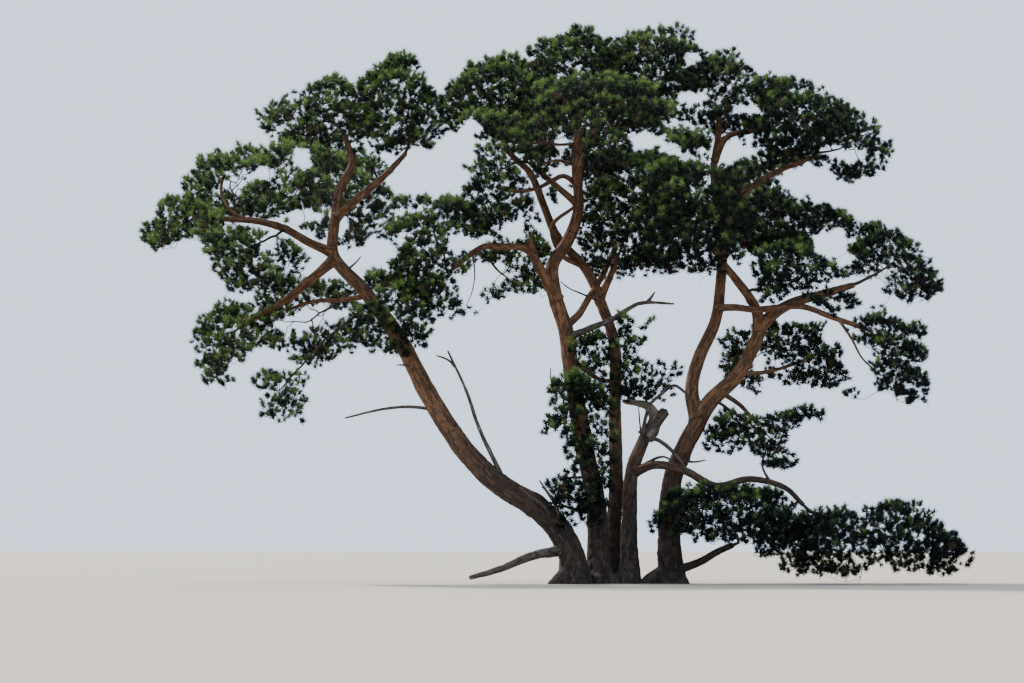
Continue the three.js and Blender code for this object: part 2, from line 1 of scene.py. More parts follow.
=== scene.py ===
"""A clump of five pine stems from one root, dressed around its packed frame.

Metres, +Z up, the origin at ground level in the middle of the main stem's foot. The limbs
get bark with real relief, and each mass of needles grows on from its limb by one rule:
boughs, twigs and shoots branch from the nearest wood, and each shoot carries a spray of
needles in pairs.
"""

import json
import math

import bpy
import numpy as np
from bpy.props import (
    FloatProperty,
    FloatVectorProperty,
    IntProperty,
    PointerProperty,
)
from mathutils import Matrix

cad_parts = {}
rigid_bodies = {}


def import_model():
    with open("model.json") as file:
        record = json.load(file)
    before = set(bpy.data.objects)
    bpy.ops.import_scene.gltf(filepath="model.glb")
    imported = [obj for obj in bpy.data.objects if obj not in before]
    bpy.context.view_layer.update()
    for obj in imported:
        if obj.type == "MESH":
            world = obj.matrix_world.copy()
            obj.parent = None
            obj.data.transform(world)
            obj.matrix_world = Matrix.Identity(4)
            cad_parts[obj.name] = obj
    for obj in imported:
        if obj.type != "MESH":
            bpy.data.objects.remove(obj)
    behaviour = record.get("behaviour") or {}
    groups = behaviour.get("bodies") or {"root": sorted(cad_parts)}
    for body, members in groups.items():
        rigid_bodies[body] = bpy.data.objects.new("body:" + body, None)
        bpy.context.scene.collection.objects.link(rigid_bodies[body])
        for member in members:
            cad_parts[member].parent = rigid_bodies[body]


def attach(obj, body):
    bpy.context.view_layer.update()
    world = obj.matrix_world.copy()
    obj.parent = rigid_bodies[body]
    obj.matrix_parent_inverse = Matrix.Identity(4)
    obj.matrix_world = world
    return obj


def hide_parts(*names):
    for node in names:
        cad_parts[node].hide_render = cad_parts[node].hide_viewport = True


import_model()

bl_info = {
    "name": "Pine Clump",
    "version": (1, 0, 0),
    "blender": (4, 5, 0),
    "location": "3D View > Sidebar > Pine",
    "description": "Grows the bark, twigs and needles of a clump of pine stems",
    "category": "Add Mesh",
}

# Where the tree is seen from. Every place in the tables is (across, depth, up) as it shows
# from there, and its true place lies on the same line of sight at its own depth.
STANDPOINT = (-1.78, -47.0, 0.68)
CAMERA_PITCH = 5.2  # degrees upwards
CAMERA_LENS = 80.6  # millimetres, on a 36 mm sensor
CAMERA_SIGHT = 4000
KEY_TURN = (-24, -40, 0)  # degrees
KEY_COLOUR = (1.0, 0.94, 0.84)
UP = np.array((0.0, 0.0, 1.0))

# Each stem: its radii at foot and tip, its way, and its roots as (bearing, reach)
STEMS = {
    "stem_main": ((0.225, 0.055), [(0, 0, -0.2), (-0.02, 0, 0.88), (-0.06, -0.02, 1.6),
        (-0.31, -0.05, 2.89), (-0.53, -0.08, 4.16), (-0.68, -0.1, 5.19), (-0.88, -0.14, 5.9),
        (-0.94, -0.12, 6.52), (-0.64, -0.05, 7.03), (-0.41, 0, 7.65), (-0.45, 0.05, 8.57),
        (-0.41, 0.2, 9.49), (-0.39, 0.35, 10.15)], [(-95, 0.62), (-20, 0.56)]),
    "stem_left": ((0.265, 0.05), [(-0.44, -0.35, -0.2), (-0.64, -0.4, 0.78), (-1.16, -0.48, 1.47),
        (-2.05, -0.5, 2.03), (-2.77, -0.42, 2.75), (-3.47, -0.3, 3.82), (-4.09, -0.1, 4.99),
        (-4.84, 0.05, 6.02), (-5.46, 0.1, 6.74), (-5.43, 0.1, 7.54), (-5.33, 0.12, 8.18), (-5.1, 0.2, 8.67),
        (-5.25, 0.3, 9.25)], [(-150, 0.76), (150, 0.62), (38, 0.52)]),
    "stem_centre": ((0.165, 0.05), [(0.29, 0.38, -0.14), (0.29, 0.42, 0.88), (0.35, 0.5, 2.11),
        (0.33, 0.58, 3.55), (0.33, 0.6, 4.88), (0.1, 0.62, 5.64), (-0.23, 0.65, 6.42), (-0.84, 0.8, 7.11),
        (-1.11, 0.95, 7.75), (-1.41, 1.05, 8.47), (-1.82, 0.95, 8.88), (-2.03, 0.7, 9.39)], [(-128, 0.48),
        (85, 0.52)]),
    "stem_broken": ((0.18, 0.095), [(0.62, 0, -0.14), (0.62, 0.05, 1.19), (0.68, 0.1, 2.28),
        (0.92, 0.15, 2.93), (1.15, 0.2, 3.38), (1, 0.26, 3.63), (0.55, 0.3, 3.71)], [(180, 0.64),
        (130, 0.52), (-70, 0.48)]),
    "stem_right": ((0.24, 0.06), [(1.48, 0.15, -0.18), (1.44, 0.15, 1.7), (1.6, 0.12, 2.42),
        (1.95, 0.1, 3.14), (2.32, 0.1, 3.75), (2.85, 0.08, 4.26), (3.2, 0.02, 4.88), (3.42, -0.05, 5.35),
        (3.92, -0.1, 5.72), (4.63, 0, 5.94), (5.27, 0.1, 6.13)], [(190, 0.9), (-60, 0.7), (65, 0.62)]),
}

# Each limb: what it grows from, its radii at foot and tip, and its way
BOUGHS = {
    "bough_left_far": ("stem_left", (0.095, 0.048), [(-5.51, 0.1, 6.79), (-5.97, 0, 7.01),
        (-6.44, -0.15, 7.28), (-7.05, -0.25, 7.46), (-7.67, -0.25, 7.5), (-8.12, -0.2, 7.56)]),
    "bough_left_low": ("stem_left", (0.105, 0.05), [(-5.45, 0.1, 6.68), (-5.92, 0.15, 6.25),
        (-6.44, 0.25, 5.82), (-6.91, 0.3, 5.54), (-7.24, 0.3, 5.35)]),
    "bough_left_rise": ("stem_left", (0.095, 0.048), [(-5.41, 0.1, 7.54), (-5, 0.05, 7.91),
        (-4.45, -0.05, 8.38), (-3.98, -0.1, 8.88)]),
    "bough_cross_upright": ("stem_main", (0.115, 0.075), [(-0.86, -0.1, 5.8), (-1.09, -0.3, 6.27),
        (-1.29, -0.45, 6.66), (-1.44, -0.55, 7.07)]),
    "bough_cross_level": ("bough_cross_upright", (0.075, 0.048), [(-1.35, -0.5, 6.79), (-1.6, -0.62, 6.91),
        (-2.03, -0.8, 6.93), (-2.4, -0.9, 6.91), (-2.75, -0.95, 6.68), (-3.01, -0.95, 6.46)]),
    "bough_main_shoulder": ("stem_main", (0.075, 0.045), [(-0.41, 0, 7.79), (-0.8, -0.25, 8.14),
        (-1.41, -0.75, 8.67)]),
    "bough_main_right": ("stem_main", (0.075, 0.048), [(-0.43, 0.1, 8.88), (0.02, -0.05, 9.45),
        (0.47, -0.2, 9.94)]),
    "bough_main_front": ("stem_main", (0.085, 0.048), [(-0.43, 0.02, 8.26), (-0.31, -0.7, 8.71),
        (-0.14, -1.5, 9.12), (-0.06, -2.1, 9.29)]),
    "bough_centre_right": ("stem_centre", (0.085, 0.055), [(0.02, 0.62, 5.84), (0.25, 0.7, 6.31),
        (0.39, 0.85, 6.7)]),
    "bough_arching": ("stem_broken", (0.095, 0.048), [(0.68, 0.1, 2.23), (1.15, -0.2, 2.42),
        (1.76, -0.45, 2.3), (2.38, -0.5, 1.99), (3.1, -0.5, 2.13), (3.81, -0.5, 1.95), (4.18, -0.5, 1.6)]),
    "bough_right_foot": ("stem_right", (0.095, 0.06), [(1.58, 0.1, 0.23), (2.07, -0.25, 0.45),
        (2.4, -0.4, 0.64), (2.73, -0.5, 0.78)]),
    "limb_right_upright": ("stem_right", (0.15, 0.052), [(2.07, 0.1, 3.3), (1.91, 0.3, 3.92),
        (2.07, 0.45, 4.63), (2.4, 0.5, 5.35), (2.52, 0.5, 6.11), (2.56, 0.45, 7.24), (2.4, 0.4, 8.51),
        (2.5, 0.45, 9.25), (2.52, 0.5, 9.74)]),
    "bough_right_top": ("limb_right_upright", (0.07, 0.045), [(2.4, 0.4, 8.71), (2.69, 0.2, 9.22),
        (3.1, 0, 9.33), (3.55, -0.2, 9.39)]),
    "bough_right_reach": ("limb_right_upright", (0.072, 0.045), [(2.54, 0.45, 7.44), (2.99, 0.4, 8),
        (3.46, 0.35, 8.36), (4.43, 0.3, 8.79)]),
    "bough_right_inner": ("stem_right", (0.11, 0.06), [(3.34, 0, 5.17), (3.24, -0.15, 5.64),
        (2.99, -0.7, 6.05), (2.64, -1.35, 6.5), (2.36, -1.75, 6.91)]),
    "bough_right_long": ("limb_right_upright", (0.078, 0.048), [(2.48, 0.5, 5.64), (2.84, -0.15, 5.66),
        (3.25, -0.7, 5.62), (4.18, -0.7, 5.68), (4.84, -0.5, 5.45), (5.51, -0.3, 5.23)]),
}

DEAD_LIMBS = {
    "dead_limb_centre": ("stem_main", (0.078, 0.022), [(-0.66, -0.1, 5.02), (-0.18, -0.3, 5.23),
        (0.27, -0.4, 5.41), (0.84, -0.5, 5.74), (1.56, -0.6, 5.74)]),
    "dead_limb_upright": ("stem_left", (0.058, 0.02), [(-1.7, -0.45, 2.11), (-2.15, -0.6, 2.52),
        (-2.46, -0.7, 3.18), (-2.71, -0.75, 3.92), (-3.1, -0.7, 4.76)]),
    "dead_limb_low": ("stem_left", (0.04, 0.018), [(-3.38, -0.3, 3.48), (-3.87, -0.4, 3.61),
        (-4.39, -0.55, 3.57), (-5.21, -0.8, 3.38)]),
    "dead_limb_ground": ("stem_left", (0.11, 0.045), [(-0.8, -0.4, 0.64), (-1.41, -0.8, 0.55),
        (-2.03, -1.1, 0.29), (-2.64, -1.3, 0.12)]),
}

# Each mass: its middle, half its size and the limb that carries it. If its wood doesn't grow
# from the limb's tip, the place (across, up) where it leaves the limb comes next, and then
# a place that it passes.
MASSES = {
    "far_left": ((-8.67, -0.2, 7.36), (0.88, 1.5, 0.78), "bough_left_far"),
    "left_shoulder": ((-7.61, 0.9, 8.3), (1.11, 1.7, 0.86), "bough_left_far", (-7.5, 7.5)),
    "left_peak": ((-5.8, 0.6, 9.74), (1.31, 1.8, 0.88), "stem_left"),
    "left_crest": ((-4.04, -0.1, 10), (0.96, 1.8, 1.19), "bough_left_rise"),
    "left_heart": ((-6.09, -2, 8.26), (1.31, 1.6, 0.9), "stem_left", (-5.38, 7.9)),
    "left_shelf": ((-7.24, -1.3, 6.87), (1.27, 1.6, 0.86), "bough_left_far", (-6.44, 7.28)),
    "left_back": ((-5.21, 2.9, 8.02), (1.19, 1.8, 1.15), "stem_left", (-5.43, 7.54)),
    "left_low": ((-7.67, 0.2, 4.88), (0.86, 1.5, 0.98), "bough_left_low"),
    "left_hanging": ((-6.52, -0.2, 3.98), (0.66, 1.1, 0.74), "stem_left", (-4.7, 5.8), (-5.7, -0.06, 4.9)),
    "left_under": ((-6.03, 1.2, 5.35), (1.23, 1.7, 1.02), "stem_left", (-4.95, 6.12)),
    "left_veil": ((-4.28, -1.4, 5.7), (0.96, 1.3, 1.02), "stem_left", (-4.5, 5.5)),
    "middle_cloud": ((-3.26, -1.3, 6.93), (1.19, 1.8, 1.44), "bough_cross_level"),
    "middle_hanging": ((-1.8, 0.5, 6.19), (0.98, 1.4, 1.23), "bough_cross_level", (-2.5, 6.85)),
    "centre_left": ((-2.03, -1.6, 8.53), (1.23, 1.9, 1.33), "bough_main_shoulder"),
    "centre_shoulder": ((-2.19, 0.4, 10.11), (1.27, 2.2, 0.94), "stem_centre"),
    "centre_top": ((-0.49, 0.5, 10.62), (1.07, 2.3, 0.96), "stem_main"),
    "centre_crest": ((1.09, -0.2, 10.64), (1.23, 2.3, 0.96), "bough_main_right"),
    "centre_front": ((0.06, -3.1, 9.61), (1.52, 1.9, 0.94), "bough_main_front"),
    "centre_back": ((-0.29, 3.7, 9.39), (1.8, 2.1, 1.23), "stem_main", (-0.45, 8.7), (-0.4, 1.5, 9)),
    "centre_heart": ((0.84, 0.5, 7.75), (1.39, 2.2, 1.52), "bough_centre_right"),
    "right_canopy": ((2.03, -2.6, 7.93), (1.31, 1.9, 1.48), "bough_right_inner"),
    "right_top": ((2.83, 0.6, 10.23), (1.27, 2, 0.94), "limb_right_upright"),
    "right_crest": ((4.16, -1, 9.7), (1.15, 1.9, 0.98), "bough_right_top"),
    "right_peak": ((5.19, 0.3, 9.06), (0.96, 1.8, 0.94), "bough_right_reach"),
    "right_middle": ((3.67, -0.2, 7.69), (1.64, 2, 0.94), "limb_right_upright", (2.56, 6.9)),
    "right_far": ((6.09, 0.1, 6.6), (1.25, 1.8, 1.02), "stem_right"),
    "right_inner": ((4.28, -2, 6.33), (1.19, 1.5, 0.86), "bough_right_inner", (3.19, 5.72)),
    "right_low": ((5.97, 0.2, 4.61), (0.98, 1.6, 1.07), "bough_right_long"),
    "right_under": ((3.87, 1.4, 4.76), (1.48, 1.6, 0.94), "stem_right", (3.18, 4.88)),
    "right_skirt": ((3.46, -0.2, 3.03), (1.35, 1.4, 0.7), "stem_right", (2.35, 3.75)),
    "right_back": ((3.81, 3.6, 7.95), (1.64, 2.1, 1.19), "limb_right_upright", (2.56, 6.5), (2.9, 2, 7.3)),
    "main_veil": ((-0.45, -0.65, 2.87), (0.82, 0.8, 1.8), "stem_main", (-0.2, 2.5)),
    "low_centre": ((0.62, -0.2, 4.67), (1.27, 1.2, 1.02), "stem_centre", (0.33, 4.3)),
    "low_middle": ((2.64, -0.4, 1.33), (1.64, 1.6, 0.84), "bough_right_foot"),
    "low_right": ((5.6, -0.5, 0.89), (2.2, 1.7, 0.88), "bough_arching"),
}

# Small limbs without a solid of their own: living forks, and dead stubs and sticks
SIDE_LIMBS = {
    "fork_far": ("bough_left_far", (0.045, 0.022), [(-7.3, -0.25, 7.48), (-7.62, -0.22, 7.7),
        (-7.8, -0.15, 8.05), (-7.75, 0, 8.45)]),
    "fork_main": ("stem_main", (0.08, 0.05), [(-0.68, -0.1, 5.25), (-0.42, 0.15, 5.5), (-0.2, 0.4, 5.85),
        (0.1, 0.95, 6.35), (0.35, 1.4, 6.9)]),
    "fork_down": ("stem_main", (0.06, 0.032), [(-0.5, -0.1, 4.6), (-0.25, 0.05, 4.35), (0.1, 0.15, 4.15),
        (0.4, 0.2, 4.2)]),
    "fork_level": ("stem_left", (0.06, 0.03), [(-4.86, 0, 5.85), (-5.3, 0.25, 5.82), (-5.9, 0.5, 5.78),
        (-6.44, 0.6, 5.6)]),
    "fork_arch": ("stem_main", (0.055, 0.032), [(-0.45, 0, 8.2), (-0.7, -0.15, 8.4), (-0.95, -0.4, 8.3),
        (-1.25, -0.6, 8.15), (-1.6, -0.7, 8.08), (-1.95, -0.75, 8.12)]),
    "fork_middle": ("stem_main", (0.035, 0.018), [(-0.43, 0.05, 8.65), (-0.65, -0.05, 8.7),
        (-0.94, -0.15, 8.72), (-1.35, -0.3, 8.52)]),
    "fork_upper": ("stem_main", (0.035, 0.018), [(-0.41, 0.1, 9.1), (-0.8, -0.1, 9.06), (-1.27, -0.3, 9.1),
        (-1.6, -0.45, 8.92)]),
    "fork_hanging": ("bough_right_long", (0.03, 0.013), [(4.95, -0.45, 5.4), (5.22, -0.42, 5),
        (5.42, -0.35, 4.62), (5.8, -0.2, 4.25)]),
    "fork_cross": ("stem_centre", (0.06, 0.034), [(-0.3, 0.65, 6.5), (-0.75, 0.45, 6.75),
        (-0.95, 0.2, 7.35), (-0.5, -0.1, 7.75)]),
    "fork_right": ("stem_right", (0.055, 0.028), [(2.5, 0.1, 3.9), (2.9, 0.4, 3.65), (3.25, 0.6, 3.3),
        (3.6, 0.6, 3.2)]),
    "fork_right_level": ("stem_right", (0.05, 0.026), [(2.9, 0.1, 4.3), (3.4, 0.5, 4.32), (3.9, 0.9, 4.45),
        (4.5, 1.3, 4.7)]),
}
DEAD_STICKS = {
    "stump_broken": ("stem_broken", (0.135, 0.105), [(0.95, 0.15, 3), (1.2, 0.18, 3.33),
        (1.37, 0.2, 3.52)]),
    "stick_cross": ("stem_broken", (0.05, 0.026), [(0.92, 0.1, 2.85), (1.15, -0.15, 2.95),
        (1.41, -0.3, 2.79), (1.66, -0.35, 2.52), (1.87, -0.4, 2.22), (2.12, -0.42, 2.13)]),
    "prong_centre": ("dead_limb_centre", (0.034, 0.014), [(1.02, -0.52, 5.76), (1.1, -0.54, 5.88),
        (1.17, -0.55, 5.99)]),
    "prong_upright": ("dead_limb_upright", (0.028, 0.013), [(-2.96, -0.71, 4.44), (-3.1, -0.76, 4.58),
        (-3.34, -0.85, 4.67)]),
    "stub_foot_long": ("stem_main", (0.045, 0.014), [(-0.35, -0.3, 1.38), (-0.75, -0.45, 1.6),
        (-1.17, -0.6, 1.97)]),
    "stub_foot_short": ("stem_main", (0.032, 0.012), [(-0.32, -0.25, 1.55), (-0.55, -0.35, 1.75),
        (-0.64, -0.4, 1.92)]),
    "stub_left_high": ("stem_left", (0.028, 0.012), [(-5.21, 0.05, 6.45), (-5.0, -0.15, 6.6),
        (-4.9, -0.3, 6.72)]),
    "stub_left_middle": ("stem_left", (0.03, 0.014), [(-3.75, -0.25, 4.4), (-4.0, -0.4, 4.47),
        (-4.15, -0.5, 4.47)]),
    "stub_left_low": ("stem_left", (0.035, 0.016), [(-2.62, -0.4, 2.55), (-2.68, -0.6, 2.85),
        (-2.7, -0.68, 2.98)]),
    "stick_main": ("stem_main", (0.034, 0.01), [(-0.5, -0.1, 3.6), (-0.8, -0.35, 3.9), (-0.97, -0.4, 4.15),
        (-0.99, -0.42, 4.42)]),
    "stub_main": ("stem_main", (0.035, 0.014), [(-0.3, -0.05, 2.15), (-0.62, -0.3, 2.15),
        (-0.82, -0.4, 2.1)]),
    "stick_centre": ("stem_centre", (0.03, 0.01), [(0, 0.6, 5.75), (-0.35, 0.3, 5.95), (-0.62, 0.1, 6.07),
        (-0.78, 0, 6.2)]),
    "stick_leaning": ("stem_left", (0.05, 0.016), [(-0.75, -0.42, 1.1), (-0.85, -0.75, 1.5),
        (-1.05, -0.95, 1.85), (-1.22, -1.05, 2.1)]),
    "stick_leaning_low": ("stem_left", (0.045, 0.015), [(-0.9, -0.45, 1.2), (-1.1, -0.8, 1.55),
        (-1.35, -0.95, 1.75), (-1.6, -1.05, 1.95)]),
    "stick_broken": ("stem_broken", (0.045, 0.026), [(0.82, 0.1, 2.75), (0.9, -0.15, 3.1),
        (0.98, -0.2, 3.45), (1.05, -0.2, 3.65), (1.32, -0.25, 3.9), (1.55, -0.3, 4.05), (1.78, -0.35, 3.9),
        (1.98, -0.4, 3.7)]),
    "stick_upright": ("stem_broken", (0.028, 0.012), [(0.7, 0.1, 2.5), (0.86, -0.1, 2.95),
        (0.84, -0.12, 3.3), (0.82, -0.1, 3.62)]),
    "stub_right": ("stem_right", (0.036, 0.012), [(1.7, 0.1, 2.5), (1.98, -0.2, 2.48), (2.2, -0.3, 2.52)]),
    "stick_arch": ("bough_arching", (0.03, 0.01), [(3.5, -0.5, 2.05), (3.35, -0.6, 2.4),
        (3.42, -0.65, 2.75), (3.38, -0.65, 3.0)]),
    "stick_under": ("stem_broken", (0.045, 0.014), [(0.72, 0.1, 2.2), (1.05, -0.15, 2.5),
        (1.35, -0.25, 2.58), (1.6, -0.3, 2.4)]),
    "hanging_twig": ("bough_cross_level", (0.02, 0.007), [(-2.6, -0.9, 6.78), (-2.55, -0.95, 6.35),
        (-2.6, -0.97, 6), (-2.72, -0.98, 5.7)]),
}

# The crown's outline from the standpoint, (across, up)
OUTLINE = [
    (-9.65, 7.05), (-9.25, 7.65), (-8.75, 8.25), (-8.3, 8.85), (-7.3, 9.15), (-7.1, 9.75), (-6.6, 10.15),
    (-6.15, 10.2), (-5.75, 10.55), (-4.9, 10.9), (-4.3, 11.1), (-4, 11.25), (-3.6, 10.8), (-3.5, 10.35),
    (-3.2, 10.25), (-2.9, 10.65), (-2.3, 10.95), (-1.7, 11.2), (-1, 11.45), (-0.3, 11.65), (0.45, 11.35),
    (0.7, 11.5), (1.2, 11.65), (1.85, 11.65), (2.3, 11.25), (2.9, 11.1), (3.3, 10.6), (4, 10.55),
    (4.5, 10.4), (5.1, 10.05), (5.65, 9.7), (6.2, 9), (5.9, 8.5), (5.2, 8.25), (4.4, 8.7), (3.75, 8.45),
    (4.1, 8), (5, 7.75), (5.9, 7.5), (6.7, 6.95), (7.25, 6.25), (7.1, 5.9), (6.3, 5.78), (5.75, 5.7),
    (6.3, 5.42), (6.75, 5.35), (6.75, 4.5), (6.95, 3.7), (5.7, 3.7), (4.75, 3.5), (4.25, 3), (4.1, 2.35),
    (3.75, 2.1), (4, 1.65), (4.33, 2.05), (4.84, 2), (5.3, 1.45), (5.7, 1.95), (6.1, 2), (6.8, 1.6),
    (7.15, 1.15), (7.95, 0.65), (7.65, 0.12), (6.4, 0.2), (5.6, 0.35), (5.2, 0), (3.7, 0), (3.35, 0.35),
    (3.1, 0.85), (2.4, 0.8), (1.5, 0.95), (1.2, 0.85), (0.2, 0.4), (-1, 1.1), (-1.2, 3.3),
    (-0.95, 4.6), (-1, 5.3), (-1.9, 4.6), (-2.6, 4.6), (-3.1, 4.3), (-3.6, 4.4), (-4.7, 4.75), (-5.3, 4.75),
    (-6, 4.1), (-5.95, 3.2), (-6.85, 3.1), (-7.05, 4.0), (-7.6, 4.05), (-8.2, 4.15), (-8.45, 5.2),
    (-7.9, 5.75), (-7.7, 6.1), (-8.3, 7.1), (-8.6, 7.08), (-9, 6.85),
]

# Openings in the crown where the sky shows, (across, up, half width, half height)
SKY_GAPS = [
    (-3.5, 8.45, 0.78, 0.5), (-4.05, 8.25, 0.36, 0.22), (-2.85, 9.05, 0.27, 0.3), (-4.55, 6.82, 0.38, 0.24),
    (-1.75, 7.3, 0.24, 0.16), (-2.6, 6.1, 0.24, 0.42), (-1.5, 5.1, 0.7, 0.5), (-1.62, 5.75, 0.3, 0.2),
    (-2.2, 6.45, 0.3, 0.18), (-6.95, 8.45, 0.26, 0.1), (-7.5, 8.25, 0.22, 0.12), (-5.75, 5.5, 0.52, 0.14),
    (-5.3, 7.35, 0.14, 0.18), (-7.35, 4.35, 0.26, 0.18), (-6.9, 4.62, 0.38, 0.18), (-1.15, 5.7, 0.3, 0.25),
    (-6.05, 7.58, 0.36, 0.12), (-0.75, 9.1, 0.14, 0.16), (0.98, 9.15, 0.34, 0.18), (1.9, 10.05, 0.34, 0.12),
    (1.95, 10.9, 0.14, 0.12), (3.1, 9.8, 0.3, 0.1), (2.65, 8.9, 0.36, 0.22), (5.2, 8.85, 0.3, 0.1),
    (4.8, 7.0, 0.36, 0.24), (5.25, 6.15, 0.65, 0.12), (4.1, 5.5, 0.6, 0.14), (3.05, 5.6, 0.26, 0.4),
    (4.8, 5.1, 0.22, 0.18), (5.3, 4.65, 0.26, 0.26), (4.2, 3.88, 0.7, 0.13),
    (3.2, 3.6, 0.5, 0.12), (0.85, 5.6, 0.24, 0.3), (1.45, 5.02, 0.5, 0.5), (-0.95, 2.6, 0.25, 0.4),
    (-2.2, 5.5, 0.3, 0.2), (-6.13, 8.77, 0.2, 0.22), (-2.8, 7, 0.22, 0.2), (-2.6, 9.4, 0.18, 0.16),
    (4.02, 2.87, 0.15, 0.2), (-0.74, 8.5, 0.26, 0.11), (-6.5, 5.27, 0.2, 0.12),
    (5.8, 3.8, 0.24, 0.12), (-6.8, 7.05, 0.17, 0.15), (3.3, 4.55, 0.13, 0.19), (3.57, 4.1, 0.27, 0.1),
    (-2.74, 8.75, 0.15, 0.14), (5.45, 4.2, 0.2, 0.25), (5.8, 5.82, 0.3, 0.12), (-6.44, 4.47, 0.25, 0.12),
    (2.95, 2.6, 0.2, 0.12), (4.35, 3.25, 0.2, 0.12), (1.5, 8.98, 0.22, 0.1),
    (4.84, 8.94, 0.22, 0.12), (5.06, 6.72, 0.15, 0.15),
]

# Clumps that a mass has beside its even ones, as (across, up)
ADDED_CLUMPS = {
    "right_under": [(2.4, 5), (4.28, 4.31)],
    "right_canopy": [(1.6, 9.35), (2.1, 9.3), (2.1, 6.35)],
    "left_low": [(-7.5, 5.75), (-7, 5.75), (-7.8, 4.72)],
    "left_back": [(-5, 7.3), (-4.85, 6.95)],
    "right_middle": [(5.15, 7.55)],
    "right_far": [(5.35, 7.3), (6.95, 6.3), (7, 6)],
    "centre_heart": [(-0.25, 6.8), (-0.1, 6.5), (0.3, 7.25)],
    "left_under": [(-7, 5.85), (-5.6, 6.2), (-5.25, 6.15)],
    "left_heart": [(-6, 7.3)],
    "left_shelf": [(-6.1, 6.88), (-7.6, 6.5)],
    "middle_hanging": [(-1.15, 7.05), (-1.2, 7.35)],
    "left_crest": [(-5.15, 10.42), (-4.8, 10.45), (-4, 10.88)],
    "far_left": [(-9.1, 7.02), (-8.8, 7)],
    "right_skirt": [(2.35, 3.3), (3.44, 2.85), (4.3, 3.6), (4.6, 3.55)],
    "centre_left": [(-2.5, 8.35)],
    "right_crest": [(4.3, 10.12)],
    "centre_crest": [(2, 11.12)],
    "right_peak": [(5.15, 8.5)],
    "left_peak": [(-6.7, 9.08)],
    "main_veil": [(-0.68, 2.85), (-0.76, 3.53)],
    "right_top": [(3, 10.72)],
    "right_low": [(5.1, 3.9), (6.55, 3.85)],
    "right_inner": [(5.25, 5.9)],
}

# Stretches of limbs, by their share of the way, that no needles hide from the standpoint
OPEN_STRETCHES = [
    ("stem_left", 0.7, 0.96), ("bough_left_far", 0, 0.8), ("fork_far", 0, 0.8), ("bough_left_low", 0, 0.7),
    ("bough_left_rise", 0, 0.95), ("bough_cross_upright", 0, 1), ("bough_cross_level", 0, 0.72),
    ("stem_main", 0.55, 0.9), ("stem_centre", 0.52, 0.94), ("fork_main", 0, 0.7),
    ("stem_right", 0.3, 0.85), ("bough_right_long", 0, 0.75), ("limb_right_upright", 0, 0.45),
    ("limb_right_upright", 0.83, 0.97), ("fork_arch", 0, 0.85), ("fork_cross", 0, 0.9),
    ("fork_middle", 0, 0.75), ("fork_upper", 0, 0.75), ("fork_hanging", 0, 0.75),
    ("fork_level", 0, 0.6), ("bough_right_reach", 0.3, 0.9),
]

# The masses whose twigs and needles are joined into one piece, each kind apart
GROUPS = {
    "far_left": ("far_left", "left_shoulder", "left_shelf", "left_low", "left_hanging", "left_under"),
    "left": ("left_peak", "left_crest", "left_heart", "left_back", "left_veil"),
    "middle": ("middle_cloud", "middle_hanging", "centre_left", "centre_shoulder"),
    "top": ("centre_top", "centre_crest", "centre_front", "main_veil", "low_centre"),
    "back": ("centre_back", "centre_heart", "right_back"),
    "right_high": ("right_canopy", "right_top", "right_crest", "right_peak", "right_middle"),
    "right": ("right_far", "right_inner", "right_low", "right_under", "right_skirt"),
    "low": ("low_middle", "low_right"),
}

# Foot of a stem: a flare, and buttress roots that run out and down to the ground
FLARE_RISE = 0.42
FLARE_SPREAD = 0.45
LEVEL_RINGS = (0.35, 1.2)  # heights between which the rings turn from level to square
ROOTS_BELOW = 0.6
# Heights of a root's middle at its start, halfway and at its end
ROOT_START = 0.33
ROOT_MIDDLE = 0.115
ROOT_END = -0.11
ROOT_RADII = (0.75, 0.28)  # beside the stem's radius
ROOT_OVERRUN = 1.05
ROOT_SAMPLES = 90
ROOT_HALF_ANGLE = 1.5
ROOT_FILLET = 0.07  # how softly a root runs into its stem
ROOT_EASINGS = 3

# Limbs and their bark
STEM_TAPER = 0.75
BOUGH_TAPER = 0.8
LIMB_SAMPLE = 0.06  # distance between the places at which a limb is looked at
BARE_FROM = {"stem_broken": 3.65}  # way along a stem from which its bark is gone
BROKEN_TIP = 0.5  # how much thinner a bare stem ends than it would with bark
BOUGH_SPACING = 1.15  # distance between a bough's rings beside a stem's
FEWEST_SIDES, MOST_SIDES = 12, 84
UNEVENNESS = 0.05  # of a limb's radius
UNEVEN_LENGTH = 1.1
KNOTS_PER_METRE = 1.4
KNOT_PLACES = (0.08, 0.95)  # as shares of the limb's length
KNOT_HEIGHTS = (0.06, 0.16)  # beside its radius, as the widths
KNOT_WIDTHS = (0.5, 0.9)
COLLAR_SWELL = 0.5  # how much wider a bough starts than its radius
COLLAR_LENGTH = 1.6
THICK_RADIUS = 0.22  # from which plates have their full width and depth
NARROWEST_PLATE = 0.6  # a plate's width on the slimmest limb, beside the full width
SHALLOWEST_PLATE = 0.22  # its depth where the bark is thin, beside the full depth
PLATE_DEPTHS = (0.12, 1.1)
PLATE_EDGE = 0.42  # how much of a plate its bevelled edge takes
PLATE_LIFT = 0.35  # how unevenly the plates stand out
GRAIN_SPACING = 0.009  # of the cracks in dead wood, as the next three
GRAIN_WIDTH = 0.016
GRAIN_LENGTH = 0.4
GRAIN_DEPTH = 0.12
STEM_SEED, BOUGH_SEED, DEAD_SEED = 11, 41, 71

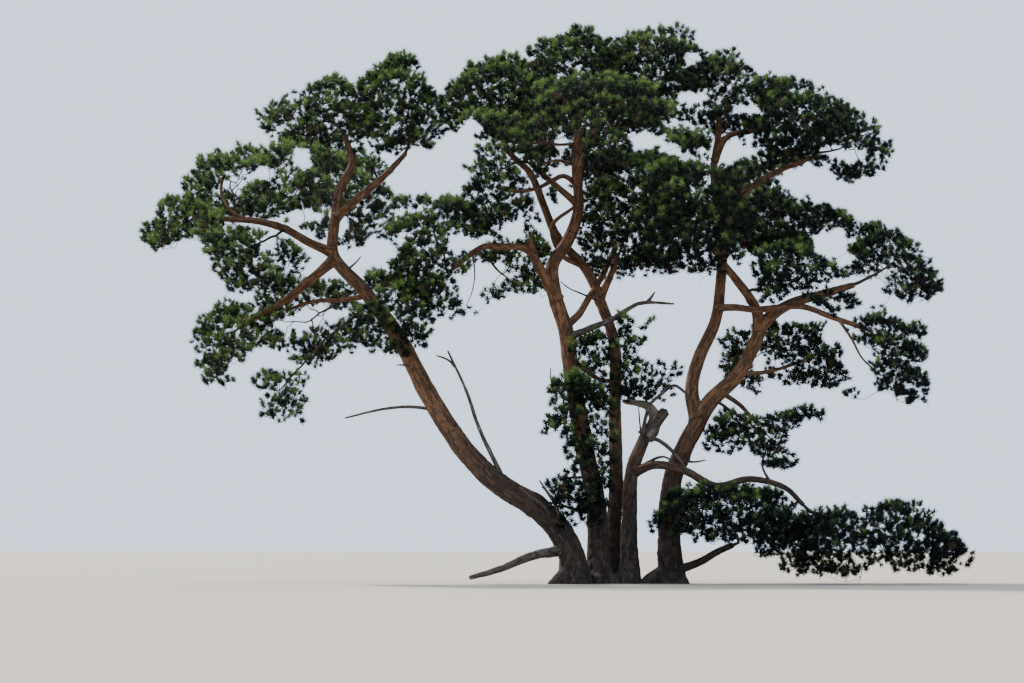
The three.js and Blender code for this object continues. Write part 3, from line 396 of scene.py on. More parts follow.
# The rule by which a mass grows, as in the source, and the finer steps that go on from it.
# Two radii are those at a piece of wood's foot and tip, reaches and forks are shares.
ROUNDNESS = 3  # exponent of a mass's round space
SKIN = 0.003  # room left at its planes
MINGLING = 0.17  # how far sprays reach in among those of the next mass
OPEN_MARGIN = 0.05  # room left beside a stretch of limb that is seen
LIMB_MARGIN = 0.03  # room left beside every limb
LOWEST_WOOD = 0.03
GROUND_ROOM = 1.6  # needle lengths left above the ground
FORK_THINNING = 0.85  # how thick new wood may be beside the wood that it leaves
RIM_UNEVENNESS = (0.84, 1.05)
FORK_SHARES = (0.3, 0.45, 0.6, 0.75, 0.9, 1)  # where boughs may leave a mass's stem
MASS_STEM_BASE = 0.043
MASS_STEM_SHARE = 0.85
MASS_STEM_TIP = 0.02
MASS_STEM_TAPER = 0.8
MASS_STEM_STEP = 0.22
MASS_STEM_STRAYING = 0.02
BOUGHS_AT_LEAST = 4
BOUGHS_PER_SQUARE_METRE = 0.58
BOUGH_REACHES = (0.6, 0.5, 0.38, 0.26)
BOUGH_RADII = (0.02, 0.009)
BOUGH_FORKS = (0.34, 0.5, 0.67, 0.84, 1)
CLUMP_REACHES = (0.84, 0.7, 0.56, 0.42, 0.28)
CLUMP_SHARES = {  # how close the clumps stand in a mass, where it isn't 1
    "left_hanging": 0.75,
    "left_back": 0.85, "centre_back": 0.85, "right_back": 0.85, "centre_front": 0.85, "centre_top": 0.95,
    "centre_shoulder": 1.15, "centre_heart": 1.1, "right_low": 1.1, "right_under": 1.1,
    "main_veil": 1.3, "low_middle": 1.35, "low_right": 1.3,
}
UNDERSIDE = -0.45  # heading below which a clump hangs under its mass
UNDERSIDE_DROPPED = 0.18
SPRAYS_IN_CLUMP_AT_LEAST = 3
CLUMP_SIZES = (0.8, 1.2)
CLUMP_FOOT = 0.45
CLUMP_EDGE = -0.42  # how far down a clump's dome of sprays goes
DOME_SPARE = 1.45  # places laid out all round for each spray on the dome
DOME_HEIGHT = 0.55
DOME_DEPTHS = (0.62, 1.0)
TWIG_RADII = (0.011, 0.0065)
TWIG_FORKS = (0.5, 0.75, 1)
SHOOT_RADII = (0.006, 0.0042)
FIRST_SEED = 101
SEED_STEP = 13
GOLDEN_ANGLE = math.pi * (3 - math.sqrt(5))

# Sprays of needles and how they are coloured: greens dealt out as painted light and shade
SPRAY_KINDS = 5
SPRAY_SIZES = (0.88, 1.2)
LEAN_AT_FOOT = 1.5  # radians, as the next four
LEAN_AT_TIP = 0.5
LEAN_SPREAD = 0.2
TURN_SPREAD = 0.3
ROLL_SPREAD = 6.28
NEEDLE_LENGTHS = (0.8, 1.12)
# Steps of painted light at which a spray takes the next lighter green, from painted deep shade to painted sun
TINT_STEPS = (-0.04, 0.14, 0.31, 0.48, 0.65)
BROWN_TINT = len(TINT_STEPS) + 1
BROWN_SHARE = 0.025
PAINTED_SHADE_TO = 0.35  # way along a shoot to which its needles are a tint darker, as painted shade
PAINTED_LIGHT_FROM = 0.7  # and from which they are a tint lighter, as painted light
# Painted light that makes a spray a lighter green: its height in the mass and in its clump,
# facing up, standing to the left, towards the key light, and standing outside
LIGHT_UP_MASS = 0.2
LIGHT_UP_CLUMP = 0.95
LIGHT_FACING_UP = 0.2
LIGHT_TO_RIGHT = -0.026  # for each metre
LIGHT_OUTSIDE = 0.16
LIGHT_CHANCE = 0.16
LOW_SHADE = 0.34  # painted shade: how much darker needles are painted at the ground
LOW_SHADE_RISE = 3


# Places and curves


def seen(place):
    """True place of a point given as it shows from the standpoint."""
    across, depth, up = place
    spread = (depth - STANDPOINT[1]) / -STANDPOINT[1]
    return np.array((
        STANDPOINT[0] + (across - STANDPOINT[0]) * spread,
        depth,
        STANDPOINT[2] + (up - STANDPOINT[2]) * spread,
    ))


def shown(places):
    """Where true places show from the standpoint, as (across, up)."""
    spread = (places[:, 1] - STANDPOINT[1]) / -STANDPOINT[1]
    across = STANDPOINT[0] + (places[:, 0] - STANDPOINT[0]) / spread
    up = STANDPOINT[2] + (places[:, 2] - STANDPOINT[2]) / spread
    return np.stack((across, up), 1)


def unit(vectors):
    """The vectors, each brought to a length of 1."""
    length = np.linalg.norm(vectors, axis=-1, keepdims=True)
    return vectors / np.maximum(length, 1e-9)


def smooth_step(low, high, value):
    """0 below low, 1 above high, and a smooth rise between."""
    share = np.clip((value - low) / (high - low), 0, 1)
    return share * share * (3 - 2 * share)


def smooth_line(points, per_span=24):
    """Dense places along the centripetal curve through the points."""
    points = [np.asarray(point, float) for point in points]
    padded = [2 * points[0] - points[1], *points, 2 * points[-1] - points[-2]]
    share = np.linspace(0, 1, per_span, endpoint=False)[:, None]
    spans = []
    for before, start, end, after in zip(padded, padded[1:], padded[2:], padded[3:]):
        own = np.linalg.norm(end - start) ** 0.5
        first = max(np.linalg.norm(start - before) ** 0.5, 1e-4)
        last = max(np.linalg.norm(after - end) ** 0.5, 1e-4)
        leave = (start - before) / first - (end - before) / (first + own) + (end - start) / own
        arrive = (end - start) / own - (after - start) / (own + last) + (after - end) / last
        leave, arrive = leave * own, arrive * own
        square = -3 * start + 3 * end - 2 * leave - arrive
        cube = 2 * start - 2 * end + leave + arrive
        spans.append(start + leave * share + square * share**2 + cube * share**3)
    spans.append(points[-1][None])
    return np.concatenate(spans)


class Way:
    """A smooth curve through points, measured by its length."""

    def __init__(self, points):
        self.places = smooth_line(points)
        steps = np.linalg.norm(np.diff(self.places, axis=0), axis=1)
        self.lengths = np.concatenate(([0], np.cumsum(steps)))
        self.length = self.lengths[-1]

    def at(self, share):
        """The places at these shares of the length."""
        wanted = np.asarray(share, float) * self.length
        return np.stack([np.interp(wanted, self.lengths, column) for column in self.places.T], -1)

    def heading(self, share, step=0.006):
        """The directions in which the curve runs there."""
        share = np.asarray(share, float)
        return unit(self.at(np.clip(share + step, 0, 1)) - self.at(np.clip(share - step, 0, 1)))

    def nearest(self, place):
        """The place on the curve nearest to a point."""
        return self.places[np.linalg.norm(self.places - place, axis=1).argmin()]


def taper(radii, share, power):
    """The radius at a share of the way from foot to tip."""
    base, tip = radii
    return tip + (base - tip) * (1 - share) ** power


# Patterns of the bark, worked out at a mesh's points


def scatter(seed, *counts):
    """An even random number from 0 to 1 for each set of whole numbers."""
    state = np.uint64(seed * 2654435761 % 2**32)
    for count, factor in zip(counts, (73856093, 19349663, 83492791)):
        state = (state ^ (count.astype(np.int64) * factor).astype(np.uint64)) & np.uint64(0xFFFFFFFF)
        state = (state * np.uint64(1664525) + np.uint64(1013904223)) & np.uint64(0xFFFFFFFF)
        state = state ^ (state >> np.uint64(15))
    return (state & np.uint64(0xFFFFFF)).astype(float) / 0xFFFFFF


def plates(turn, along, around, plate_width, plate_length, seed):
    """How far each point lies from the edge of its bark plate, in metres, and its plate's
    own random number. The plates go round the limb without a seam."""
    column = np.floor(turn * around).astype(int)
    row = np.floor(along / plate_length).astype(int)
    nearest = np.full(turn.shape, 9.0)
    second = np.full(turn.shape, 9.0)
    owner = np.zeros(turn.shape)
    for step in (-1, 0, 1):
        for rise in (-1, 0, 1):
            there, high = column + step, row + rise
            key = there % around
            shift = scatter(seed, key, high)
            lift = scatter(seed + 1, key, high)
            sideways = (turn * around - there - 0.15 - 0.7 * shift) * plate_width
            lengthways = along - (high + 0.1 + 0.8 * lift) * plate_length
            apart = np.hypot(sideways, lengthways * plate_width / plate_length * 1.25)
            closer = apart < nearest
            second = np.where(closer, nearest, np.minimum(second, apart))
            owner = np.where(closer, scatter(seed + 2, key, high), owner)
            nearest = np.where(closer, apart, nearest)
    return second - nearest, owner


def waves(turn, along, seed, length):
    """Gentle unevenness from -1 to 1 that closes round the limb."""
    chance = np.random.default_rng(seed)
    total = np.zeros(turn.shape)
    for count in (1, 2, 2, 3, 4):
        phase = chance.uniform(0, 2 * math.pi)
        pitch = chance.uniform(0.5, 1.6) / length
        total += np.sin(2 * math.pi * (turn * count + along * pitch) + phase) / (count + 0.5)
    return total / 1.6


# Meshes


def linked(name, mesh):
    """An object that shows the mesh, at the world origin."""
    piece = bpy.data.objects.new(name, mesh)
    bpy.context.scene.collection.objects.link(piece)
    return piece


def carry(mesh, name, kind, values):
    """Stores a value for each of the mesh's points."""
    made = mesh.attributes.new(name, kind, "POINT")
    values = np.asarray(values, np.int32 if kind == "INT" else np.float32)
    made.data.foreach_set("vector" if kind == "FLOAT_VECTOR" else "value", values.ravel())


def mesh_object(name, places, faces, carried=None):
    """One object from rows of places, a list of face arrays, and what its points carry."""
    mesh = bpy.data.meshes.new(name)
    loops = np.concatenate([rows.ravel() for rows in faces]).astype(np.int32)
    sizes = np.concatenate([np.full(len(rows), rows.shape[1]) for rows in faces]).astype(np.int32)
    starts = np.concatenate(([0], np.cumsum(sizes)[:-1])).astype(np.int32)
    mesh.vertices.add(len(places))
    mesh.vertices.foreach_set("co", np.asarray(places, np.float32).ravel())
    mesh.loops.add(len(loops))
    mesh.loops.foreach_set("vertex_index", loops)
    mesh.polygons.add(len(sizes))
    mesh.polygons.foreach_set("loop_start", starts)
    mesh.update(calc_edges=True)
    for key, (kind, values) in (carried or {}).items():
        carry(mesh, key, kind, values)
    return linked(name, mesh)


def spokes(headings, sides):
    """Directions all round each ring and square to its heading. They are carried along the
    headings without twist."""
    axis = np.array((1.0, 0, 0)) if abs(headings[0][0]) < 0.7 else np.array((0, 1.0, 0))
    across = []
    for heading in headings:
        axis = axis - heading * (axis @ heading)
        axis = axis / np.linalg.norm(axis)
        across.append(axis)
    across = np.array(across)
    aside = np.cross(headings, across)
    angle = np.arange(sides) / sides * 2 * math.pi
    return across[:, None] * np.cos(angle)[None, :, None] + aside[:, None] * np.sin(angle)[None, :, None]


def ring_faces(rings, sides):
    """The four-sided faces between rings of points."""
    ring, side = np.meshgrid(np.arange(rings - 1), np.arange(sides), indexing="ij")
    after = (side + 1) % sides
    low, high = ring * sides, (ring + 1) * sides
    return np.stack((low + side, low + after, high + after, high + side), -1).reshape(-1, 4)


def closed_tube(centres, headings, radii, end_bulge):
    """Places and faces of a tube whose rings have their own radius at each side, closed at
    both ends by a fan. The end fan's middle stands out by end_bulge."""
    rings, sides = radii.shape
    places = (centres[:, None] + spokes(headings, sides) * radii[..., None]).reshape(-1, 3)
    ends = np.stack((centres[0], centres[-1] + headings[-1] * end_bulge))
    side = np.arange(sides)
    after = (side + 1) % sides
    last = (rings - 1) * sides
    first_fan = np.stack((after, side, np.full(sides, rings * sides)), 1)
    last_fan = np.stack((last + side, last + after, np.full(sides, rings * sides + 1)), 1)
    return np.concatenate((places, ends)), [ring_faces(rings, sides), first_fan, last_fan]


# Limbs

LIMBS = {}


class Limb:
    """A stem, bough, fork or stick: its curve, its radii and how they shrink."""

    def __init__(self, way, radii, power):
        self.way = way
        self.radii = radii
        self.power = power
        count = max(8, round(way.length / LIMB_SAMPLE))
        self.shares = np.linspace(0, 1, count)
        self.samples = way.at(self.shares)
        self.girths = taper(radii, self.shares, power)

    def stretch(self, start, end):
        """Where part of the limb shows from the standpoint, its depth and its radii."""
        chosen = (self.shares >= start) & (self.shares <= end)
        samples = self.samples[chosen]
        return shown(samples), samples[:, 1], self.girths[chosen]


def lay_limbs():
    """Works out the curve of every limb, parents first."""
    for name, (radii, places, _) in STEMS.items():
        LIMBS[name] = Limb(Way([seen(place) for place in places]), radii, STEM_TAPER)
    for table in (BOUGHS, DEAD_LIMBS, SIDE_LIMBS, DEAD_STICKS):
        for name, (parent, radii, places) in table.items():
            points = [seen(place) for place in places]
            points[0] = LIMBS[parent].way.nearest(points[0])
            LIMBS[name] = Limb(Way(points), radii, BOUGH_TAPER)


def root_reach(angle, height, turn, reach, radius):
    """How far out a buttress root stands at each angle and height from the stem's middle."""
    apart = (angle - turn + math.pi) % (2 * math.pi) - math.pi
    out = np.linspace(0, reach * ROOT_OVERRUN, ROOT_SAMPLES)
    along = out / reach
    middle = np.where(
        along < 0.5,
        ROOT_START + (ROOT_MIDDLE - ROOT_START) * along * 2,
        ROOT_MIDDLE + (ROOT_END - ROOT_MIDDLE) * (along * 2 - 1),
    )
    girth = radius * taper(ROOT_RADII, np.clip(along, 0, 1), BOUGH_TAPER)
    ahead = out[None, None] * np.cos(apart)[..., None]
    sideways = out[None, None] * np.sin(apart)[..., None]
    ahead_girth = np.interp(ahead, out, girth)
    ahead_middle = np.interp(ahead, out, middle)
    rise = np.maximum(height[..., None] - ahead_middle, 0)
    holds = (sideways**2 + rise**2 < ahead_girth**2) & (np.abs(apart)[..., None] < ROOT_HALF_ANGLE)
    return (holds * out[None, None]).max(-1)


def stem_rings(name, spacing):
    """The rings of a stem: level at its foot, and square to its curve further up."""
    limb = LIMBS[name]
    dense = np.linspace(0, 1, round(limb.way.length / spacing * 4))
    rise = limb.way.at(dense)[:, 2]
    start = dense[np.argmax(rise >= 0)]
    count = round(limb.way.length * (1 - start) / spacing)
    shares = start + (1 - start) * np.linspace(0, 1, count)
    centres = limb.way.at(shares)
    centres[0, 2] = 0
    upright = smooth_step(*LEVEL_RINGS, centres[:, 2])[:, None]
    headings = unit(UP * (1 - upright) + limb.way.heading(shares) * upright)
    return shares, centres, headings


def knots(turn, along, radius, length, seed, count):
    """Low bumps where old boughs were, beside the limb's radius."""
    chance = np.random.default_rng(seed)
    total = np.zeros(turn.shape)
    for _ in range(count):
        where, place = chance.random(), chance.uniform(*KNOT_PLACES) * length
        height, width = chance.uniform(*KNOT_HEIGHTS), chance.uniform(*KNOT_WIDTHS) * radius
        apart = (turn - where + 0.5) % 1 - 0.5
        distance = (apart * 2 * math.pi * radius) ** 2 + (along - place) ** 2
        total += height * np.exp(-distance / width**2)
    return total


def with_roots(plain, height, headings, roots, base):
    """A stem's radii, flared at its foot and run out into buttress roots."""
    plain = plain * (1 + FLARE_SPREAD * np.exp(-np.maximum(height, 0) / FLARE_RISE))
    spoke = spokes(headings, plain.shape[1])
    compass = np.arctan2(spoke[..., 1], spoke[..., 0])
    low = (height < ROOTS_BELOW).any(1)
    for bearing, reach in roots:
        root = root_reach(compass[low], height[low], math.radians(bearing), reach, base)
        near = plain[low]
        mix = np.clip(0.5 + (root - near) / (2 * ROOT_FILLET), 0, 1)
        plain[low] = near * (1 - mix) + root * mix + ROOT_FILLET * mix * (1 - mix)
    for _ in range(ROOT_EASINGS):
        eased = (np.roll(plain[low], 1, 1) + np.roll(plain[low], -1, 1) + 2 * plain[low]) / 4
        plain[low] = eased
    return plain


def bark_piece(name, node, sizes, material, seed, is_dead=False):
    """A stem or bough with plates, fissures, knots and flared foot or collar in its mesh."""
    limb = LIMBS[node]
    is_stem = node in STEMS
    base = limb.radii[0]
    if is_stem:
        shares, centres, headings = stem_rings(node, sizes.ring_spacing)
    else:
        spacing = sizes.ring_spacing * BOUGH_SPACING
        shares = np.linspace(0, 1, max(6, round(limb.way.length / spacing)))
        centres, headings = limb.way.at(shares), limb.way.heading(shares)
    sides = int(np.clip(round(2 * math.pi * base / sizes.side_width), FEWEST_SIDES, MOST_SIDES))
    turn, along = np.meshgrid(np.arange(sides) / sides, shares * limb.way.length)
    radius = taper(limb.radii, shares, limb.power)[:, None] * np.ones_like(turn)
    height = centres[:, 2][:, None] * np.ones_like(turn)
    knot_count = 4 + round(limb.way.length * KNOTS_PER_METRE)
    uneven = knots(turn, along, base * 0.7, limb.way.length, seed + 1, knot_count)
    plain = radius * (1 + uneven + UNEVENNESS * waves(turn, along, seed, UNEVEN_LENGTH))
    if node in BARE_FROM:
        plain = plain * (1 - BROKEN_TIP * smooth_step(BARE_FROM[node], limb.way.length, along))
    if is_stem:
        plain = with_roots(plain, height, headings, STEMS[node][2], base)
    else:
        plain = plain * (1 + COLLAR_SWELL * np.exp(-along / (COLLAR_LENGTH * max(base, 0.05))))
    thick = 1 - smooth_step(sizes.rough_below, sizes.smooth_above, height)
    if is_dead:
        around, depth = max(5, round(base / GRAIN_SPACING)), base * GRAIN_DEPTH
        width, length = GRAIN_WIDTH, GRAIN_LENGTH
    else:
        width = sizes.plate_width * (NARROWEST_PLATE + (1 - NARROWEST_PLATE) * min(base / THICK_RADIUS, 1))
        around = max(6, round(2 * math.pi * base / width))
        length = width * sizes.plate_stretch
        depth = sizes.plate_depth * (SHALLOWEST_PLATE + (1 - SHALLOWEST_PLATE) * thick)
        depth = depth * np.clip(radius / THICK_RADIUS, *PLATE_DEPTHS)
    wander = waves(turn * 5, along, seed + 7, 0.3) + 0.6 * waves(turn * 11, along, seed + 8, 0.12)
    astray = turn + wander * 0.22 / around, along + wander * 0.35 * width
    edge, owner = plates(*astray, around, width, length, seed + 5)
    plate = smooth_step(0, width * PLATE_EDGE, edge)
    bare = smooth_step(-0.35, 0.35, along - BARE_FROM.get(node, 99) + 0.3 * waves(turn, along, seed + 3, 0.7))
    plain = plain - depth * (1 - plate) + depth * PLATE_LIFT * (owner - 0.5) * plate
    places, faces = closed_tube(centres, headings, plain, limb.radii[1] * 0.5)
    ends = np.array((0.5, 0.5))  # what the middles of the two end fans carry
    straight = np.stack((np.cos(turn * 2 * math.pi) * base, np.sin(turn * 2 * math.pi) * base, along), -1)
    straight_ends = np.array(((0, 0, 0), (0, 0, limb.way.length)))
    piece = mesh_object(name, places, faces, {
        "plate": ("FLOAT", np.concatenate((plate.ravel(), ends))),
        "own": ("FLOAT", np.concatenate((owner.ravel(), ends))),
        "bare": ("FLOAT", np.concatenate((bare.ravel(), (0, 1 if node in BARE_FROM else 0)))),
        "straight": ("FLOAT_VECTOR", np.concatenate((straight.reshape(-1, 3), straight_ends))),
    })
    piece.data.materials.append(material)
    piece.data.shade_smooth()
    return piece


# Masses of needles


class Space:
    """The room that a mass may fill: a round space less what lies beyond its planes."""

    def __init__(self, middle, half):
        self.centre = seen(middle)
        self.half = np.array(half)
        self.planes = []

    def reach(self, direction):
        """How far an ellipsoid of the same size reaches in a direction."""
        return 1 / np.linalg.norm(direction / self.half)

    def share_out(self, places):
        """How far out places lie, from 0 in the middle to 1 at the skin."""
        offset = np.abs((places - self.centre) / self.half)
        return (offset**ROUNDNESS).sum(-1) ** (1 / ROUNDNESS)

    def place_out(self, direction, share):
        """The place that lies this far out in a direction."""
        offset = direction * self.half
        return self.centre + offset * share / self.share_out(self.centre + offset)

    def holds(self, places, over=-SKIN):
        """Which places the mass may fill; over is how far they may pass its planes."""
        fits = (places[:, 2] > SKIN) & (self.share_out(places) <= 1)
        for place, normal in self.planes:
            fits &= (places - place) @ normal < over
        return fits

    def place_seen(self, across, up):
        """The place nearest the middle that the standpoint sees there, if there is one."""
        depths = self.centre[1] + self.half[1] * np.linspace(-1, 1, 41)
        places = np.array([seen((across, depth, up)) for depth in depths])
        places = places[self.holds(places, MINGLING)]
        return [places[self.share_out(places).argmin()]] if len(places) else []

    def size(self):
        """About the mass's mean face, in square metres."""
        across, deep, high = self.half
        return math.pi / 3 * (across * deep + deep * high + high * across)


def lay_spaces():
    """Every mass's space, with a plane between each two of them."""
    spaces = {name: Space(*row[:2]) for name, row in MASSES.items()}
    for name, space in spaces.items():
        for other_name, other in spaces.items():
            if other_name == name:
                continue
            line = other.centre - space.centre
            own = space.reach(unit(line))
            share = own / (own + other.reach(unit(line)))
            normal = unit(line / (space.half + other.half) ** 2)
            space.planes.append((space.centre + line * share, normal))
    return spaces


def even_directions(count, turn):
    """Directions spread evenly all round, in a spiral from the top down."""
    index = np.arange(count)
    height = 1 - (2 * index + 1) / count
    level = np.sqrt(1 - height**2)
    angle = GOLDEN_ANGLE * index + turn
    return np.stack((level * np.cos(angle), level * np.sin(angle), height), 1)


def in_outline(points):
    """Which points, as (across, up), lie within the crown's outline."""
    points = points + 0.06 * np.sin(points[:, ::-1] * (13, 17))  # an uneven edge
    start = np.array(OUTLINE)
    end = np.roll(start, -1, 0)
    slope = (end[:, 0] - start[:, 0]) / (end[:, 1] - start[:, 1] + 1e-9)
    up = points[:, 1:2]
    crosses = (start[:, 1] > up) != (end[:, 1] > up)
    left_of = points[:, :1] < slope * (up - start[:, 1]) + start[:, 0]
    return (crosses & left_of).sum(1) % 2 == 1


def shows_sky(points):
    """Which points, as (across, up), lie in an opening of the crown."""
    edge = 1 + 0.45 * np.sin(points @ (9, 5)) * np.sin(points @ (-6, 12))  # an uneven edge
    clear = np.zeros(len(points), bool)
    for across, up, wide, high in SKY_GAPS:
        clear |= ((points[:, 0] - across) / wide) ** 2 + ((points[:, 1] - up) / high) ** 2 < edge
    return clear


def shows_needles(places):
    """Which places lie where the standpoint sees needles and no sky."""
    front = shown(places)
    return in_outline(front) & ~shows_sky(front)


def near_limbs(places, samples, girths, margin):
    """Which places touch a limb."""
    if not len(samples):
        return np.zeros(len(places), bool)
    apart = np.linalg.norm(places[:, None] - samples[None], axis=2) - girths[None]
    return apart.min(1) < margin


def hides_limbs(places, stretches):
    """Which places lie in front of a stretch of limb that is seen, or all but touch it."""
    front = shown(places)
    hides = np.zeros(len(places), bool)
    for middles, depths, girths in stretches:
        apart = np.linalg.norm(front[:, None] - middles[None], axis=2) - girths[None]
        nearest = apart.argmin(1)
        hides |= (apart.min(1) < OPEN_MARGIN) & (places[:, 1] < depths[nearest])
    return hides


class Wood:
    """Wood that grows from forks towards places: each line starts at the nearest fork."""

    def __init__(self, chance):
        self.chance = chance
        self.lines = []
        self.forks = np.empty((0, 3))
        self.headings = np.empty((0, 3))
        self.girths = np.empty(0)

    def add_forks(self, places, headings, girths):
        """Places that more wood may grow from."""
        self.forks = np.concatenate((self.forks, places))
        self.headings = np.concatenate((self.headings, headings))
        self.girths = np.concatenate((self.girths, girths))

    def distance(self, place):
        """How far a place is from the nearest fork."""
        return np.linalg.norm(self.forks - place, axis=1).min()

    def crosses_sky(self, place):
        """Whether much of the way from the nearest fork shows against the sky."""
        start = self.forks[np.linalg.norm(self.forks - place, axis=1).argmin()]
        way = start + (place - start) * np.linspace(0.1, 0.9, 7)[:, None]
        return (~shows_needles(way)).sum() > 2

    def grow(self, tip, radii, steps, lift, forks_at, straying=0.05, turn_in=0.5):
        """A line from the nearest fork to the tip, which leaves along its fork's heading
        and rises towards its end."""
        index = np.linalg.norm(self.forks - tip, axis=1).argmin()
        start, heading = self.forks[index], self.headings[index]
        reach = np.linalg.norm(tip - start)
        direct = unit(tip - start)
        leave = unit(direct + heading * turn_in) * reach
        arrive = unit(direct + UP * lift) * reach
        share = np.linspace(0, 1, steps + 1)[:, None]
        square, cube = share**2, share**3
        places = (
            start * (2 * cube - 3 * square + 1) + leave * (cube - 2 * square + share)
            + tip * (3 * square - 2 * cube) + arrive * (cube - square)
        )
        if steps > 1:
            places[1:-1] += self.chance.normal(0, straying * reach, (steps - 1, 3))
        places[:, 2] = np.maximum(places[:, 2], LOWEST_WOOD)
        base = min(radii[0], self.girths[index] * FORK_THINNING)
        girths = base + (min(radii[1], base) - base) * share[:, 0]
        self.lines.append((places, girths))
        headings = unit(np.gradient(places, axis=0))
        chosen = [round(at * steps) for at in forks_at]
        self.add_forks(places[chosen], headings[chosen], girths[chosen])
        return places, headings


def mass_stem(name):
    """The curve of a mass's first wood, and its thickness where it starts."""
    middle, _, parent, *places = MASSES[name]
    limb = LIMBS[parent]
    if places:
        across, up = places.pop(0)
        points = [limb.way.nearest(seen((across, limb.way.at(0.5)[1], up)))]
        base = MASS_STEM_BASE
    else:
        heading, tip = limb.way.heading(1), limb.way.at(1)
        points = [tip - heading * limb.radii[1], tip + heading * limb.radii[1] * 2]
        base = limb.radii[1] * MASS_STEM_SHARE
    points += [seen(place) for place in (*places, middle)]
    return Way(points), base


def lay_clump(middle, outward, sizes, chance):
    """One clump: its foot, its crown's heading, its reach, and the places and headings of
    the sprays, which stand on a low dome."""
    crown = unit(UP * 0.9 + outward * 0.6)
    reach = chance.uniform(*CLUMP_SIZES) * sizes.clump_radius
    foot = middle - crown * reach * CLUMP_FOOT
    side = unit(np.cross(crown, (0.3, 0.9, 0.1)))
    axes = np.stack((side, np.cross(crown, side), crown))
    dome = even_directions(round(sizes.sprays_per_clump * DOME_SPARE), chance.uniform(0, 6))
    dome = dome[dome[:, 2] > CLUMP_EDGE]
    dome = dome + chance.normal(0, 0.14, dome.shape)
    low_dome = dome * np.array((1, 1, DOME_HEIGHT)) * reach
    spots = foot + (low_dome * chance.uniform(*DOME_DEPTHS, (len(dome), 1))) @ axes
    spots = spots[np.linalg.norm(spots - foot, axis=1).argsort()]
    aims = unit(spots - foot + crown * reach * 0.25)
    aims = unit(aims + UP * 0.45 + chance.normal(0, 0.22, aims.shape))
    return foot, crown, reach, spots, aims


def light_on(places, headings, heights, space):
    """The painted light on sprays, which sets how light a green they take, from their place in the
    mass, their height in their clump and their heading."""
    above = (places[:, 2] - space.centre[2]) / space.half[2]
    light = LIGHT_UP_MASS * above + LIGHT_UP_CLUMP * heights + LIGHT_FACING_UP * headings[:, 2]
    return light + LIGHT_TO_RIGHT * places[:, 0] + LIGHT_OUTSIDE * (space.share_out(places) - 0.7)


def grow_mass(name, index, space, sizes, obstacles, stretches):
    """All the wood of one mass and the places, headings and painted light of its sprays."""
    seed = FIRST_SEED + index * SEED_STEP
    chance = np.random.default_rng(seed)
    wood = Wood(chance)
    way, base = mass_stem(name)
    count = max(4, round(way.length / MASS_STEM_STEP))
    share = np.linspace(0, 1, count + 1)
    stem = way.at(share)
    stem[1:-1] += chance.normal(0, MASS_STEM_STRAYING, (count - 1, 3))
    wood.lines.append((stem, base + (MASS_STEM_TIP - base) * share**MASS_STEM_TAPER))
    marks = np.array(FORK_SHARES)
    girths = base + (MASS_STEM_TIP - base) * marks**MASS_STEM_TAPER
    wood.add_forks(way.at(marks), way.heading(marks), girths)
    samples, limb_girths = obstacles
    close = (np.abs(samples - space.centre) < space.half + 0.4).all(1)
    samples, limb_girths = samples[close], limb_girths[close]

    def fitting(directions, reaches):
        """The furthest place in each direction that the space holds."""
        found = []
        for number, direction in enumerate(directions):
            unevenness = chance.uniform(*RIM_UNEVENNESS)
            for reach in reaches[number % 3 == 2:]:
                place = space.place_out(direction, reach * unevenness)
                if space.holds(place[None])[0]:
                    found.append(place)
                    break
        return found

    def standing(spots, aims):
        """Which sprays have room at both ends and hide nothing that is seen."""
        fits = np.ones(len(spots), bool)
        for ends in (spots, spots + aims * sizes.needle_length):
            fits &= space.holds(ends, MINGLING) & shows_needles(ends) & ~hides_limbs(ends, stretches)
            fits &= ~near_limbs(ends, samples, limb_girths, LIMB_MARGIN)
            fits &= ends[:, 2] > sizes.needle_length * GROUND_ROOM
        return fits

    boughs = BOUGHS_AT_LEAST + round(BOUGHS_PER_SQUARE_METRE * space.size())
    tips = fitting(even_directions(boughs, seed), BOUGH_REACHES)
    tips = [tip for tip in tips if shows_needles(tip[None])[0]]
    for tip in sorted(tips, key=wood.distance):
        wood.grow(tip, BOUGH_RADII, steps=6, lift=0.25, forks_at=BOUGH_FORKS)
    clumps = round(sizes.clumps_per_square_metre * CLUMP_SHARES.get(name, 1) * space.size())
    middles = fitting(even_directions(clumps, seed * 0.7), CLUMP_REACHES)
    added = [place for spot in ADDED_CLUMPS.get(name, ()) for place in space.place_seen(*spot)]
    roots, headings, clump_heights = [], [], []
    for middle in sorted(middles + added, key=wood.distance):
        is_added = any(middle is place for place in added)
        outward = unit((middle - space.centre) / space.half**2)
        if outward[2] < UNDERSIDE and chance.random() < UNDERSIDE_DROPPED and not is_added:
            continue
        if not shows_needles(middle[None])[0]:
            continue
        foot, crown, reach, spots, aims = lay_clump(middle, outward, sizes, chance)
        fits = standing(spots, aims)
        if fits.sum() < SPRAYS_IN_CLUMP_AT_LEAST or (wood.crosses_sky(foot) and not is_added):
            continue
        places, ways = wood.grow(foot, TWIG_RADII, steps=4, lift=0.35, forks_at=TWIG_FORKS)
        twigs = Wood(chance)
        twigs.add_forks(places[2:], ways[2:], np.full(3, TWIG_RADII[1]))
        for spot, heading in zip(spots[fits], aims[fits]):
            twigs.grow(spot, SHOOT_RADII, steps=1, lift=0.5, forks_at=(1,), turn_in=0.7)
            roots.append(spot)
            headings.append(heading)
            clump_heights.append((spot - foot) @ crown / reach)
        wood.lines += twigs.lines
    roots, headings = np.array(roots).reshape(-1, 3), np.array(headings).reshape(-1, 3)
    # Painted light on each spray, with a random spread, less painted shade near the ground
    light = light_on(roots, headings, np.array(clump_heights), space)
    light = light + chance.normal(0, LIGHT_CHANCE, len(roots))
    return wood.lines, roots, headings, light - LOW_SHADE * np.exp(-roots[:, 2] / LOW_SHADE_RISE)


# Node trees


